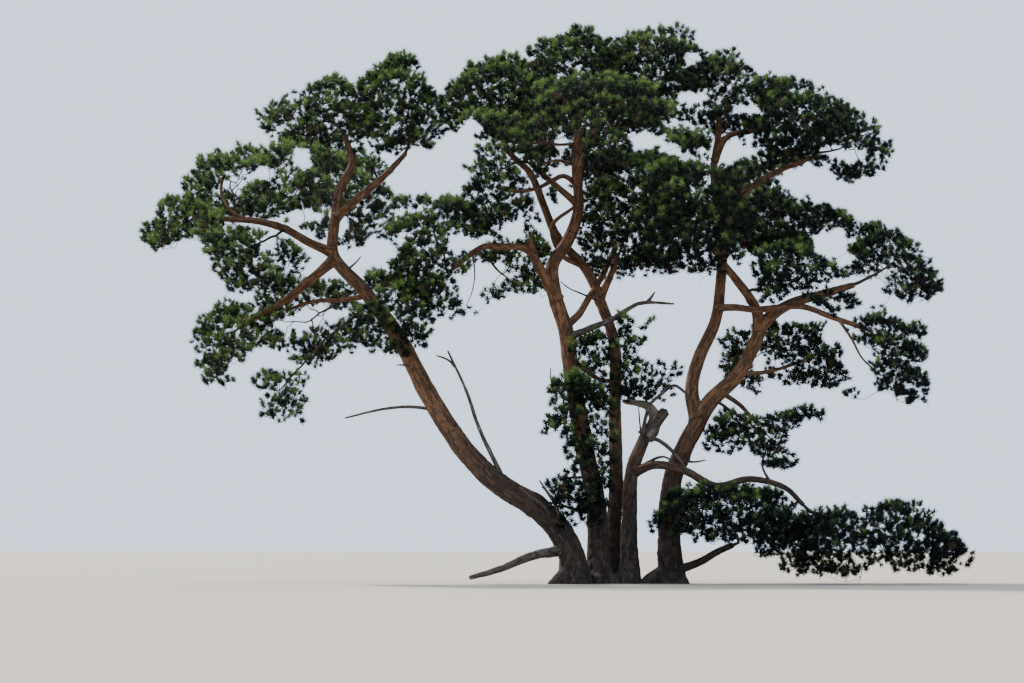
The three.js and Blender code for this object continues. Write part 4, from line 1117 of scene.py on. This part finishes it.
class Value:
    """A socket of a node tree that can stand in a sum."""

    def __init__(self, graph, socket):
        self.graph = graph
        self.socket = socket

    def math(self, operation, *others):
        return self.graph.node("ShaderNodeMath", {"operation": operation}, dict(enumerate((self, *others))))

    def __add__(self, other):
        return self.math("ADD", other)

    def __radd__(self, other):
        return self.math("ADD", other)

    def __sub__(self, other):
        return self.math("SUBTRACT", other)

    def __rsub__(self, other):
        return self.graph.node("ShaderNodeMath", {"operation": "SUBTRACT"}, {0: other, 1: self})

    def __mul__(self, other):
        return self.math("MULTIPLY", other)

    def __rmul__(self, other):
        return self.math("MULTIPLY", other)

    def __truediv__(self, other):
        return self.math("DIVIDE", other)


class Graph:
    """A node tree that is written as expressions."""

    def __init__(self, tree):
        self.tree = tree

    def node(self, kind, settings=None, inputs=None, output=0):
        """One node: its settings are set first, then the values or links of its sockets."""
        made = self.tree.nodes.new(kind)
        for key, value in (settings or {}).items():
            setattr(made, key, value)
        for key, value in (inputs or {}).items():
            if isinstance(value, Value):
                self.tree.links.new(value.socket, made.inputs[key])
            elif value is not None:
                made.inputs[key].default_value = value
        return Value(self, made.outputs[output]) if made.outputs else made

    def smooth(self, value, low, high):
        """0 below low, 1 above high, and a smooth rise between."""
        settings = {"interpolation_type": "SMOOTHSTEP"}
        return self.node("ShaderNodeMapRange", settings, {"Value": value, "From Min": low, "From Max": high})

    def mix(self, factor, first, second, kind="MIX"):
        """One colour laid over another."""
        settings = {"data_type": "RGBA", "blend_type": kind}
        return self.node("ShaderNodeMix", settings, {0: factor, 6: colour_of(first), 7: colour_of(second)}, 2)

    def noise(self, place, scale, detail=4, roughness=0.55, stretch=(1, 1, 1)):
        """Noise from 0 to 1 on a place, drawn out along its axes by the stretch."""
        if stretch != (1, 1, 1):
            place = self.node("ShaderNodeVectorMath", {"operation": "MULTIPLY"}, {0: place, 1: stretch})
        inputs = {"Vector": place, "Scale": scale, "Detail": detail, "Roughness": roughness}
        return self.node("ShaderNodeTexNoise", {}, inputs)

    def bump(self, height, distance, strength):
        """A normal for relief that is too fine for the mesh."""
        inputs = {"Height": height, "Distance": distance, "Strength": strength}
        return self.node("ShaderNodeBump", {}, inputs)

    def rotation(self, **turns):
        """A rotation from turns about X, Y or Z."""
        vector = self.node("ShaderNodeCombineXYZ", {}, turns)
        return self.node("FunctionNodeEulerToRotation", {}, {0: vector})

    def turned(self, first, second):
        """Two rotations, the second about the axes that the first has turned."""
        inputs = {0: first, 1: second}
        return self.node("FunctionNodeRotateRotation", {"rotation_space": "LOCAL"}, inputs)

    def on_points(self, **inputs):
        """Copies on points. Underscores stand for spaces."""
        inputs = {key.replace("_", " "): value for key, value in inputs.items()}
        return self.node("GeometryNodeInstanceOnPoints", {}, inputs)

    def carried(self, name, kind="FLOAT"):
        """What a geometry's points carry under this name."""
        return self.node("GeometryNodeInputNamedAttribute", {"data_type": kind}, {"Name": name})

    def attribute(self, name, output=2):
        """A number, or with output 1 a vector, that the mesh carries under this name."""
        return self.node("ShaderNodeAttribute", {"attribute_name": name}, {}, output)


def colour_of(value):
    return value if isinstance(value, Value) else (*tuple(value)[:3], 1)


def new_material(name):
    """A material with one Principled shader, and the graph to draw on."""
    material = bpy.data.materials.new(name)
    material.use_nodes = True
    material.node_tree.nodes.clear()
    graph = Graph(material.node_tree)
    shader = graph.tree.nodes.new("ShaderNodeBsdfPrincipled")
    output = graph.tree.nodes.new("ShaderNodeOutputMaterial")
    graph.tree.links.new(shader.outputs[0], output.inputs[0])
    return material, graph, shader


def feed(graph, shader, **inputs):
    """Sets or links sockets of the shader. Underscores stand for spaces."""
    for key, value in inputs.items():
        socket = shader.inputs[key.replace("_", " ")]
        if isinstance(value, Value):
            graph.tree.links.new(value.socket, socket)
        else:
            socket.default_value = value


def bark_material(name, colours, sizes):
    """Grey fissured plates near the ground, and thin orange bark that flakes above."""
    material, graph, shader = new_material(name)
    straight = graph.attribute("straight", 1)
    plate, own = graph.attribute("plate"), graph.attribute("own")
    place = graph.node("ShaderNodeTexCoord", {}, {}, 3)
    height = graph.node("ShaderNodeSeparateXYZ", {}, {0: place}, 2)
    broad = graph.noise(straight, 2.2, 3)
    fine = graph.noise(straight, 26, 5, 0.6, (1, 1, 0.35))
    flakes = graph.noise(straight, 14, 4, 0.6, (1, 1, 0.28))
    streaks = graph.noise(straight, 60, 3, 0.6, (1, 1, 0.2))
    up_here = graph.smooth(height + (broad - 0.5) * 2.2, sizes.rough_below, sizes.smooth_above)
    raised = graph.smooth(fine + (own - 0.5) * 0.5, 0.2, 0.8)
    ridge = graph.mix(raised, colours.plate_dark, colours.plate_light)
    # Fissures painted darker than the plates: painted shade in the recesses
    low = graph.mix(graph.smooth(plate, -0.25, 0.8), colours.fissure, ridge)
    lichen = graph.smooth(graph.noise(place, 3.1, 4), 0.58, 0.72) * graph.smooth(plate, 0.4, 0.9) * 0.35
    low = graph.mix(lichen, low, colours.lichen)
    scale_mask = graph.smooth(flakes + (own - 0.5) * 0.45, 0.42, 0.62)
    high = graph.mix(scale_mask, colours.orange_deep, colours.orange_light)
    high = graph.mix(graph.smooth(streaks, 0.5, 0.72) * 0.4, high, colours.peel)
    # Cracks between the thin flakes painted darker: painted shade
    high = graph.mix((1 - graph.smooth(plate, 0.02, 0.5)) * 0.7, high, colours.fissure)
    colour = graph.mix(up_here, low, high)
    colour = graph.mix(graph.smooth(broad, 0.35, 0.7) * 0.35, colour, colours.weathered)
    bleached = graph.mix(graph.smooth(streaks, 0.35, 0.7), colours.dead_grey, colours.dead_pale)
    colour = graph.mix(graph.attribute("bare"), colour, bleached)
    rough = 0.95 - 0.14 * up_here
    grain = fine * 0.5 + flakes * 0.35 + streaks * 0.15
    bump = graph.bump(grain, 0.012, 0.75)
    feed(graph, shader, Base_Color=colour, Roughness=rough, Normal=bump, Specular_IOR_Level=0.25)
    return material


def dead_material(colours):
    """Bare grey wood with long cracks, bleached in patches."""
    material, graph, shader = new_material("dead wood")
    straight = graph.attribute("straight", 1)
    plate = graph.attribute("plate")
    grain = graph.noise(straight, 60, 5, 0.65, (1, 1, 0.06))
    patch = graph.noise(straight, 5, 4, 0.6, (1, 1, 0.5))
    colour = graph.mix(graph.smooth(grain, 0.3, 0.75), colours.dead_dark, colours.dead_grey)
    colour = graph.mix(graph.smooth(patch, 0.52, 0.7) * 0.6, colour, colours.dead_pale)
    # Cracks in the dead wood painted darker: painted shade
    colour = graph.mix((1 - graph.smooth(plate, 0, 0.6)) * 0.8, colour, colours.fissure)
    bump = graph.bump(grain, 0.006, 0.7)
    rough = 0.82 + 0.1 * patch
    feed(graph, shader, Base_Color=colour, Roughness=rough, Normal=bump, Specular_IOR_Level=0.2)
    return material


def twig_material(colours):
    """Thin brown bark on the twigs, orange where they are thicker."""
    material, graph, shader = new_material("twig bark")
    place = graph.node("ShaderNodeTexCoord", {}, {}, 3)
    broad = graph.noise(place, 1.7, 3)
    fine = graph.noise(place, 55, 4, 0.6)
    colour = graph.mix(graph.smooth(fine, 0.3, 0.7), colours.twig_dark, colours.twig_light)
    colour = graph.mix(graph.smooth(broad, 0.45, 0.75) * 0.5, colour, colours.orange_deep)
    bump = graph.bump(fine, 0.004, 0.6)
    feed(graph, shader, Base_Color=colour, Roughness=0.75 + 0.2 * fine, Normal=bump)
    return material


def needle_materials(colours):
    """One plain green for each step from painted shade to painted light, and the brown of old needles."""
    made = []
    for number, name in enumerate(NEEDLE_NAMES):
        material, graph, shader = new_material(name)
        shade = tuple(getattr(colours, f"needles_{number + 1}"))
        feed(graph, shader, Base_Color=(*shade, 1), Roughness=0.6, Specular_IOR_Level=0.16)
        made.append(material)
    return made


def new_tree(name, sockets):
    """A geometry tree with a geometry input and output and these named inputs."""
    tree = bpy.data.node_groups.new(name, "GeometryNodeTree")
    tree.interface.new_socket(name="Geometry", in_out="OUTPUT", socket_type="NodeSocketGeometry")
    tree.interface.new_socket(name="Geometry", in_out="INPUT", socket_type="NodeSocketGeometry")
    for label, kind in sockets.items():
        tree.interface.new_socket(name=label, in_out="INPUT", socket_type=f"NodeSocket{kind}")
    graph = Graph(tree)
    group = tree.nodes.new("NodeGroupInput")
    inputs = {socket.name: Value(graph, socket) for socket in group.outputs if socket.name}
    return graph, inputs


def close_tree(graph, geometry, materials, tint=None):
    """Ends a geometry tree: realized, and with a material set on each tint."""
    geometry = graph.node("GeometryNodeRealizeInstances", {}, {"Geometry": geometry})
    for number, material in enumerate(materials):
        chosen = tint.math("COMPARE", number, 0.5) if tint is not None else None
        inputs = {"Geometry": geometry, "Selection": chosen, "Material": material}
        geometry = graph.node("GeometryNodeSetMaterial", {}, inputs)
    output = graph.tree.nodes.new("NodeGroupOutput")
    graph.tree.links.new(geometry.socket, output.inputs[0])
    return graph.tree


def spray_tree(material):
    """Pairs of needles in a spiral up a shoot, which lean out at its foot and forward at
    its tip. Each knows by how many tints it differs from the spray: a tint darker at the
    foot as painted shade, a tint lighter at the tip as painted light."""
    sockets = {
        "Pair": "Object", "Pairs": "Int", "Shoot Length": "Float", "Needle Length": "Float",
        "Lean At Foot": "Float", "Lean At Tip": "Float", "Seed": "Int",
    }
    graph, given = new_tree("spray of needles", sockets)
    index = graph.node("GeometryNodeInputIndex")
    share = index / (given["Pairs"] - 1)
    unit_line = graph.node("GeometryNodeMeshLine", {}, {"Count": given["Pairs"]})
    along = graph.node("ShaderNodeCombineXYZ", {}, {"Z": share * given["Shoot Length"]})
    points = graph.node("GeometryNodeSetPosition", {}, {"Geometry": unit_line, "Position": along})
    # Painted shade on the needles at a shoot's foot and painted light on those at its tip
    step = share.math("GREATER_THAN", PAINTED_LIGHT_FROM) - share.math("LESS_THAN", PAINTED_SHADE_TO)
    stored = {"Geometry": points, "Name": "step", "Value": step}
    points = graph.node("GeometryNodeStoreNamedAttribute", {"data_type": "FLOAT"}, stored)

    def random(number, low, high):
        """A random number for each pair."""
        inputs = {2: low, 3: high, 8: given["Seed"] + number}
        return graph.node("FunctionNodeRandomValue", {"data_type": "FLOAT"}, inputs, 1)

    lean = given["Lean At Foot"] * (1 - share) + given["Lean At Tip"] * share
    lean = lean + random(1, -LEAN_SPREAD, LEAN_SPREAD)
    angle = index * GOLDEN_ANGLE + random(2, -TURN_SPREAD, TURN_SPREAD)
    roll = graph.rotation(Z=random(3, 0, ROLL_SPREAD))
    turned = graph.turned(graph.rotation(X=lean, Z=angle), roll)
    size = given["Needle Length"] * random(4, *NEEDLE_LENGTHS)
    pair = graph.node("GeometryNodeObjectInfo", {}, {"Object": given["Pair"]}, 4)
    needles = graph.on_points(Points=points, Instance=pair, Rotation=turned, Scale=size)
    return close_tree(graph, needles, [material])


def foliage_tree(materials):
    """A spray on every shoot's foot, turned along the shoot, in tints of painted light and shade
    round its own one. A spray that turns brown is brown throughout."""
    graph, given = new_tree("sprays on shoots", {"Sprays": "Collection"})
    heading = {"Vector": graph.carried("heading", "FLOAT_VECTOR")}
    aligned = graph.node("FunctionNodeAlignRotationToVector", {"axis": "Z"}, heading)
    turned = graph.turned(aligned, graph.rotation(Z=graph.carried("spin")))
    inputs = {"Collection": given["Sprays"], "Separate Children": True, "Reset Children": True}
    sprays = graph.node("GeometryNodeCollectionInfo", {}, inputs)
    placed = graph.on_points(
        Points=given["Geometry"], Instance=sprays, Pick_Instance=True,
        Instance_Index=graph.carried("kind", "INT"), Rotation=turned, Scale=graph.carried("size"),
    )
    tint = graph.carried("tint", "INT")
    # A spray's tint moved by the painted shade and light along its shoot
    green = (tint + graph.carried("step")).math("MAXIMUM", 0).math("MINIMUM", BROWN_TINT - 1)
    is_brown = tint.math("GREATER_THAN", BROWN_TINT - 0.5)
    return close_tree(graph, placed, materials, green + (tint - green) * is_brown)


def twig_tree(material):
    """A tube of a few sides along every line, as thick as the line says."""
    graph, given = new_tree("twigs along lines", {"Sides": "Int"})
    curves = graph.node("GeometryNodeMeshToCurve", {}, {"Mesh": given["Geometry"]})
    ring = graph.node("GeometryNodeCurvePrimitiveCircle", {}, {"Resolution": given["Sides"], "Radius": 1.0})
    inputs = {"Curve": curves, "Profile Curve": ring, "Scale": graph.carried("thickness")}
    tubes = graph.node("GeometryNodeCurveToMesh", {}, inputs)
    return close_tree(graph, tubes, [material])


def made_by(tree, name, source, values):
    """A plain mesh object that the tree makes of the source, which is removed."""
    modifier = source.modifiers.new(tree.name, "NODES")
    modifier.node_group = tree
    for item in tree.interface.items_tree:
        if item.in_out == "INPUT" and item.name in values:
            modifier[item.identifier] = values[item.name]
    source.update_tag()
    graph = bpy.context.evaluated_depsgraph_get()
    mesh = bpy.data.meshes.new_from_object(source.evaluated_get(graph), depsgraph=graph)
    source.modifiers.remove(modifier)
    old = source.data
    bpy.data.objects.remove(source)
    bpy.data.meshes.remove(old)
    mesh.name = name
    return linked(name, mesh)


# What a user may change

# Copies of one green from painted deep shade to painted sun, and the brown of old needles
NEEDLE_NAMES = (
    "needles in deep shade", "needles in shade", "needles dull green", "needles green",
    "needles bright green", "needles in sun", "needles turning brown",
)


def number_property(name, default, description, **more):
    return FloatProperty(name=name, description=description, default=default, **{"min": 0, **more})


def length_property(name, default, description):
    return number_property(name, default, description, unit="LENGTH", precision=4)


def count_property(name, default, description, least=1):
    return IntProperty(name=name, description=description, default=default, min=least)


def colour_property(name, default, description):
    return FloatVectorProperty(
        name=name, description=description, default=default, subtype="COLOR", size=3, min=0, max=1
    )


class PineBark(bpy.types.PropertyGroup):
    """Sizes of the bark's relief."""

    plate_width: length_property("Plate Width", 0.055, "Width of a plate low on a stem")
    plate_depth: length_property("Plate Depth", 0.02, "Depth of the fissures low on a stem")
    plate_stretch: number_property("Plate Stretch", 4.2, "Length of a plate beside its width", min=1)
    rough_below: length_property("Rough Below", 1.1, "Height up to which the bark is thick and grey")
    smooth_above: length_property("Smooth Above", 4.2, "Height from which the bark is thin and orange")
    ring_spacing: length_property("Ring Spacing", 0.034, "Distance between two rings of a stem's mesh")
    side_width: length_property("Side Width", 0.02, "Width of one side of a limb's mesh at its foot")


class PineNeedles(bpy.types.PropertyGroup):
    """Sizes of the twigs and needles, and how many there are."""

    needle_length: length_property("Needle Length", 0.102, "Length of a needle")
    needle_width: number_property("Needle Width", 0.17, "Width of a needle's foot beside its length")
    shoot_length: length_property("Shoot Length", 0.06, "Length of a shoot that carries needles")
    pairs: count_property("Pairs", 18, "Pairs of needles on a shoot")
    clump_radius: length_property("Clump Radius", 0.335, "Reach of a clump of sprays")
    clumps_per_square_metre: number_property("Clumps", 8.6, "Clumps for each square metre of a mass's face")
    sprays_per_clump: count_property("Sprays", 22, "Sprays in a clump")
    twig_sides: count_property("Twig Sides", 3, "Sides of a twig's tube", 3)


class PineColours(bpy.types.PropertyGroup):
    """Colours of the bark and the needles."""

    plate_dark: colour_property("Plate Dark", (0.019, 0.015, 0.0135), "Shaded part of a low plate")
    plate_light: colour_property("Plate Light", (0.062, 0.046, 0.038), "Light part of a low plate")
    # Painted shade in the fissures and cracks
    fissure: colour_property("Fissure", (0.014, 0.0096, 0.0072), "Bottom of a fissure")
    lichen: colour_property("Lichen", (0.08, 0.083, 0.058), "Lichen on the plates")
    orange_deep: colour_property("Orange Deep", (0.086, 0.04, 0.021), "Older thin bark")
    orange_light: colour_property("Orange Light", (0.195, 0.096, 0.051), "Fresh thin bark")
    peel: colour_property("Peel", (0.28, 0.176, 0.116), "Edges of peeling flakes")
    weathered: colour_property("Weathered", (0.05, 0.034, 0.026), "Weathered patches")
    dead_dark: colour_property("Dead Dark", (0.04, 0.032, 0.028), "Grain of dead wood")
    dead_grey: colour_property("Dead Grey", (0.136, 0.112, 0.096), "Grey dead wood")
    dead_pale: colour_property("Dead Pale", (0.32, 0.264, 0.216), "Bleached dead wood")
    twig_dark: colour_property("Twig Dark", (0.013, 0.0096, 0.0072), "Shaded side of twig bark")
    twig_light: colour_property("Twig Light", (0.048, 0.03, 0.021), "Light side of twig bark")
    # Needles 1 to 6 are one green in copies from painted deep shade to painted sun
    needles_1: colour_property("Deep Shade", (0.002, 0.0046, 0.0044), "Needles deep inside a mass")
    needles_2: colour_property("Shade", (0.0038, 0.0092, 0.0074), "Needles under a clump")
    needles_3: colour_property("Dull Green", (0.009, 0.021, 0.0125), "Needles on a clump's side")
    needles_4: colour_property("Green", (0.03, 0.057, 0.02), "Needles on a clump")
    needles_5: colour_property("Bright Green", (0.076, 0.13, 0.035), "Needles on a clump's top")
    needles_6: colour_property("Sun", (0.15, 0.23, 0.06), "Needles at the crown's top")
    needles_7: colour_property("Brown", (0.07, 0.055, 0.026), "Old needles")


class PineStage(bpy.types.PropertyGroup):
    """The floor and the light."""

    floor_colour: colour_property("Floor", (0.43, 0.375, 0.3), "Colour of the floor")
    sky_colour: colour_property("Surround", (0.66, 0.79, 0.95), "Colour of the light all round")
    sky_strength: number_property("Surround Strength", 1.76, "Strength of the light all round")
    key_strength: number_property("Key Strength", 7.5, "Strength of the main light")
    key_softness: number_property(
        "Key Softness", math.radians(7), "Angle that the main light fills", subtype="ANGLE"
    )
    floor_reach: length_property("Floor Reach", 900.0, "Half the width of the floor")


class PineOperator(bpy.types.Operator):
    """Base of the operators that grow the tree."""

    bl_options = {"REGISTER", "UNDO"}

    def execute(self, context):
        self.make(context.scene)
        return {"FINISHED"}


class PINE_OT_stage(PineOperator):
    """Puts up the camera, the main light, the surround and the floor"""

    bl_idname = "pine.stage"
    bl_label = "Stage"

    def make(self, scene):
        stage = scene.pine_stage
        camera = linked("camera", bpy.data.cameras.new("camera"))
        camera.data.lens = CAMERA_LENS
        camera.data.clip_end = CAMERA_SIGHT
        camera.location = STANDPOINT
        camera.rotation_euler = (math.radians(90 + CAMERA_PITCH), 0, 0)
        scene.camera = camera
        key = linked("key light", bpy.data.lights.new("key light", "SUN"))
        key.data.energy = stage.key_strength
        key.data.angle = stage.key_softness
        key.data.color = KEY_COLOUR
        key.rotation_euler = [math.radians(turn) for turn in KEY_TURN]
        world = bpy.data.worlds.new("surround")
        world.use_nodes = True
        graph = Graph(world.node_tree)
        world.node_tree.nodes.clear()
        colour = (*stage.sky_colour, 1)
        background = graph.node("ShaderNodeBackground", {}, {"Color": colour, "Strength": stage.sky_strength})
        output = world.node_tree.nodes.new("ShaderNodeOutputWorld")
        world.node_tree.links.new(background.socket, output.inputs[0])
        scene.world = world
        reach = stage.floor_reach
        corners = [(-reach, -reach, 0), (reach, -reach, 0), (reach, reach, 0), (-reach, reach, 0)]
        floor = mesh_object("floor", np.array(corners), [np.array([[0, 1, 2, 3]])])
        material, graph, shader = new_material("floor")
        feed(graph, shader, Base_Color=(*stage.floor_colour, 1), Roughness=0.9)
        floor.data.materials.append(material)


class PINE_OT_stems(PineOperator):
    """Grows the bark of the five stems"""

    bl_idname = "pine.stems"
    bl_label = "Stems"

    def make(self, scene):
        sizes = scene.pine_bark
        material = bark_material("stem bark", scene.pine_colours, sizes)
        dress_limbs(STEMS, STEMS, sizes, material, "stem_bark", STEM_SEED)


class PINE_OT_boughs(PineOperator):
    """Grows the bark of the boughs and the smaller forks"""

    bl_idname = "pine.boughs"
    bl_label = "Boughs"

    def make(self, scene):
        sizes = scene.pine_bark
        material = bark_material("bough bark", scene.pine_colours, sizes)
        dress_limbs((*BOUGHS, *SIDE_LIMBS), BOUGHS, sizes, material, "bough_bark", BOUGH_SEED)


class PINE_OT_dead_limbs(PineOperator):
    """Makes the bare dead limbs, stubs and sticks"""

    bl_idname = "pine.dead_limbs"
    bl_label = "Dead Limbs"

    def make(self, scene):
        sizes = scene.pine_bark
        material = dead_material(scene.pine_colours)
        dress_limbs((*DEAD_LIMBS, *DEAD_STICKS), DEAD_LIMBS, sizes, material, "dead_wood", DEAD_SEED)


class PINE_OT_masses(PineOperator):
    """Grows the twigs and needles of every mass"""

    bl_idname = "pine.masses"
    bl_label = "Twigs and Needles"

    def make(self, scene):
        sizes = scene.pine_needles
        twigs = twig_tree(twig_material(scene.pine_colours))
        foliage = foliage_tree(needle_materials(scene.pine_colours))
        sprays = spray_collection(sizes)
        spaces = lay_spaces()
        order = {name: index for index, name in enumerate(MASSES)}
        obstacles = (
            np.concatenate([limb.samples for limb in LIMBS.values()]),
            np.concatenate([limb.girths for limb in LIMBS.values()]),
        )
        stretches = [LIMBS[name].stretch(start, end) for name, start, end in OPEN_STRETCHES]
        for group, members in GROUPS.items():
            grown = [
                grow_mass(name, order[name], spaces[name], sizes, obstacles, stretches) for name in members
            ]
            lines, *sprouts = zip(*grown)
            lines = [line for part in lines for line in part]
            nodes = [f"mass_{name}" for name in members]
            wood = made_by(twigs, f"twigs_{group}", line_object(lines), {"Sides": sizes.twig_sides})
            dress(wood, "bough_bark", *nodes)
            points = shoot_points(*(np.concatenate(rows) for rows in sprouts), order[members[0]])
            needles = made_by(foliage, f"needles_{group}", points, {"Sprays": sprays})
            dress(needles, "needles", *nodes)
        for spray in list(sprays.objects):
            bpy.data.objects.remove(spray)
        bpy.data.collections.remove(sprays)


def dress(piece, slot, *nodes):
    """Hangs a finished piece on the root body and hides the frame's parts that it stands for; its slot is not
    used.
    """
    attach(piece, "root")
    if nodes:
        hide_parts(*nodes)


def dress_limbs(nodes, replaced, sizes, material, slot, seed):
    """Makes each limb's mesh. Those that the frame has a solid of hide that solid."""
    is_dead = slot == "dead_wood"
    for number, node in enumerate(nodes):
        name = f"{'wood' if is_dead else 'bark'}_{node}"
        piece = bark_piece(name, node, sizes, material, seed + number, is_dead)
        dress(piece, slot, *((node,) if node in replaced else ()))


def line_object(lines):
    """Lines of places joined by edges, with their thickness."""
    places = np.concatenate([line for line, _ in lines])
    ends = np.cumsum([len(line) for line, _ in lines])
    index = np.arange(len(places) - 1)
    edges = np.stack((index, index + 1), 1)
    edges = edges[~np.isin(index + 1, ends)]
    mesh = bpy.data.meshes.new("lines")
    mesh.vertices.add(len(places))
    mesh.vertices.foreach_set("co", places.astype(np.float32).ravel())
    mesh.edges.add(len(edges))
    mesh.edges.foreach_set("vertices", edges.astype(np.int32).ravel())
    carry(mesh, "thickness", "FLOAT", np.concatenate([girths for _, girths in lines]))
    return linked("lines", mesh)


def shoot_points(places, headings, light, seed):
    """One point for each shoot, with the tint, kind, size and turn of its spray."""
    chance = np.random.default_rng(seed + 900)
    count = len(places)
    # A spray's tint is its step of painted light, or brown for old needles
    tint = np.searchsorted(TINT_STEPS, light)
    tint = np.where(chance.random(count) < BROWN_SHARE, BROWN_TINT, tint)
    mesh = bpy.data.meshes.new("shoots")
    mesh.vertices.add(count)
    mesh.vertices.foreach_set("co", places.astype(np.float32).ravel())
    carry(mesh, "size", "FLOAT", chance.uniform(*SPRAY_SIZES, count))
    carry(mesh, "spin", "FLOAT", chance.uniform(0, 2 * math.pi, count))
    carry(mesh, "tint", "INT", tint)
    carry(mesh, "kind", "INT", chance.integers(0, SPRAY_KINDS, count))
    carry(mesh, "heading", "FLOAT_VECTOR", headings)
    return linked("shoots", mesh)


def needle_pair(width):
    """Two slender needles a length of 1 long from one root, which part like a V and narrow
    to their tips."""
    half = width / 2
    places = np.array([
        (0.02 - half, 0.01, 0.04), (0.02 + half, 0.01, 0.04), (0.17, 0.05, 1),
        (-0.03, -0.02 - half, 0), (-0.03, -0.02 + half, 0), (-0.15, -0.07, 0.93),
    ])
    faces = np.array([[0, 1, 2], [3, 4, 5]])
    return mesh_object("pair of needles", places, [faces])


def spray_collection(sizes):
    """A few kinds of spray, for the sprays on the shoots to be taken from."""
    collection = bpy.data.collections.new("sprays")
    plain, _, _ = new_material("needles plain")
    tree = spray_tree(plain)
    for kind in range(SPRAY_KINDS):
        pair = needle_pair(sizes.needle_width)
        source = line_object([(np.zeros((1, 3)), np.zeros(1))])
        values = {
            "Pair": pair, "Pairs": sizes.pairs, "Shoot Length": sizes.shoot_length,
            "Needle Length": sizes.needle_length, "Lean At Foot": LEAN_AT_FOOT,
            "Lean At Tip": LEAN_AT_TIP, "Seed": kind * 7 + 3,
        }
        spray = made_by(tree, f"spray_{kind}", source, values)
        bpy.context.scene.collection.objects.unlink(spray)
        collection.objects.link(spray)
        bpy.data.objects.remove(pair)
    return collection


class PINE_PT_panel(bpy.types.Panel):
    """Lists the pieces of the tree and their settings"""

    bl_idname = "PINE_PT_panel"
    bl_label = "Pine Clump"
    bl_space_type = "VIEW_3D"
    bl_region_type = "UI"
    bl_category = "Pine"

    def draw(self, context):
        for operator in OPERATORS:
            self.layout.operator(operator.bl_idname)
        for name, group in GROUPS_OF_PROPERTIES.items():
            box = self.layout.box()
            box.label(text=group.__doc__)
            for key in group.__annotations__:
                box.prop(getattr(context.scene, name), key)


OPERATORS = (PINE_OT_stage, PINE_OT_stems, PINE_OT_boughs, PINE_OT_dead_limbs, PINE_OT_masses)
GROUPS_OF_PROPERTIES = {
    "pine_bark": PineBark,
    "pine_needles": PineNeedles,
    "pine_colours": PineColours,
    "pine_stage": PineStage,
}


def register():
    for name, group in GROUPS_OF_PROPERTIES.items():
        bpy.utils.register_class(group)
        setattr(bpy.types.Scene, name, PointerProperty(type=group))
    for operator in (*OPERATORS, PINE_PT_panel):
        bpy.utils.register_class(operator)


def unregister():
    for operator in (PINE_PT_panel, *reversed(OPERATORS)):
        bpy.utils.unregister_class(operator)
    for name, group in GROUPS_OF_PROPERTIES.items():
        delattr(bpy.types.Scene, name)
        bpy.utils.unregister_class(group)


def main():
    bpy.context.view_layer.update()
    register()
    lay_limbs()
    bpy.ops.pine.stage()
    bpy.ops.pine.stems()
    bpy.ops.pine.boughs()
    bpy.ops.pine.dead_limbs()
    bpy.ops.pine.masses()


if __name__ == "__main__":
    main()
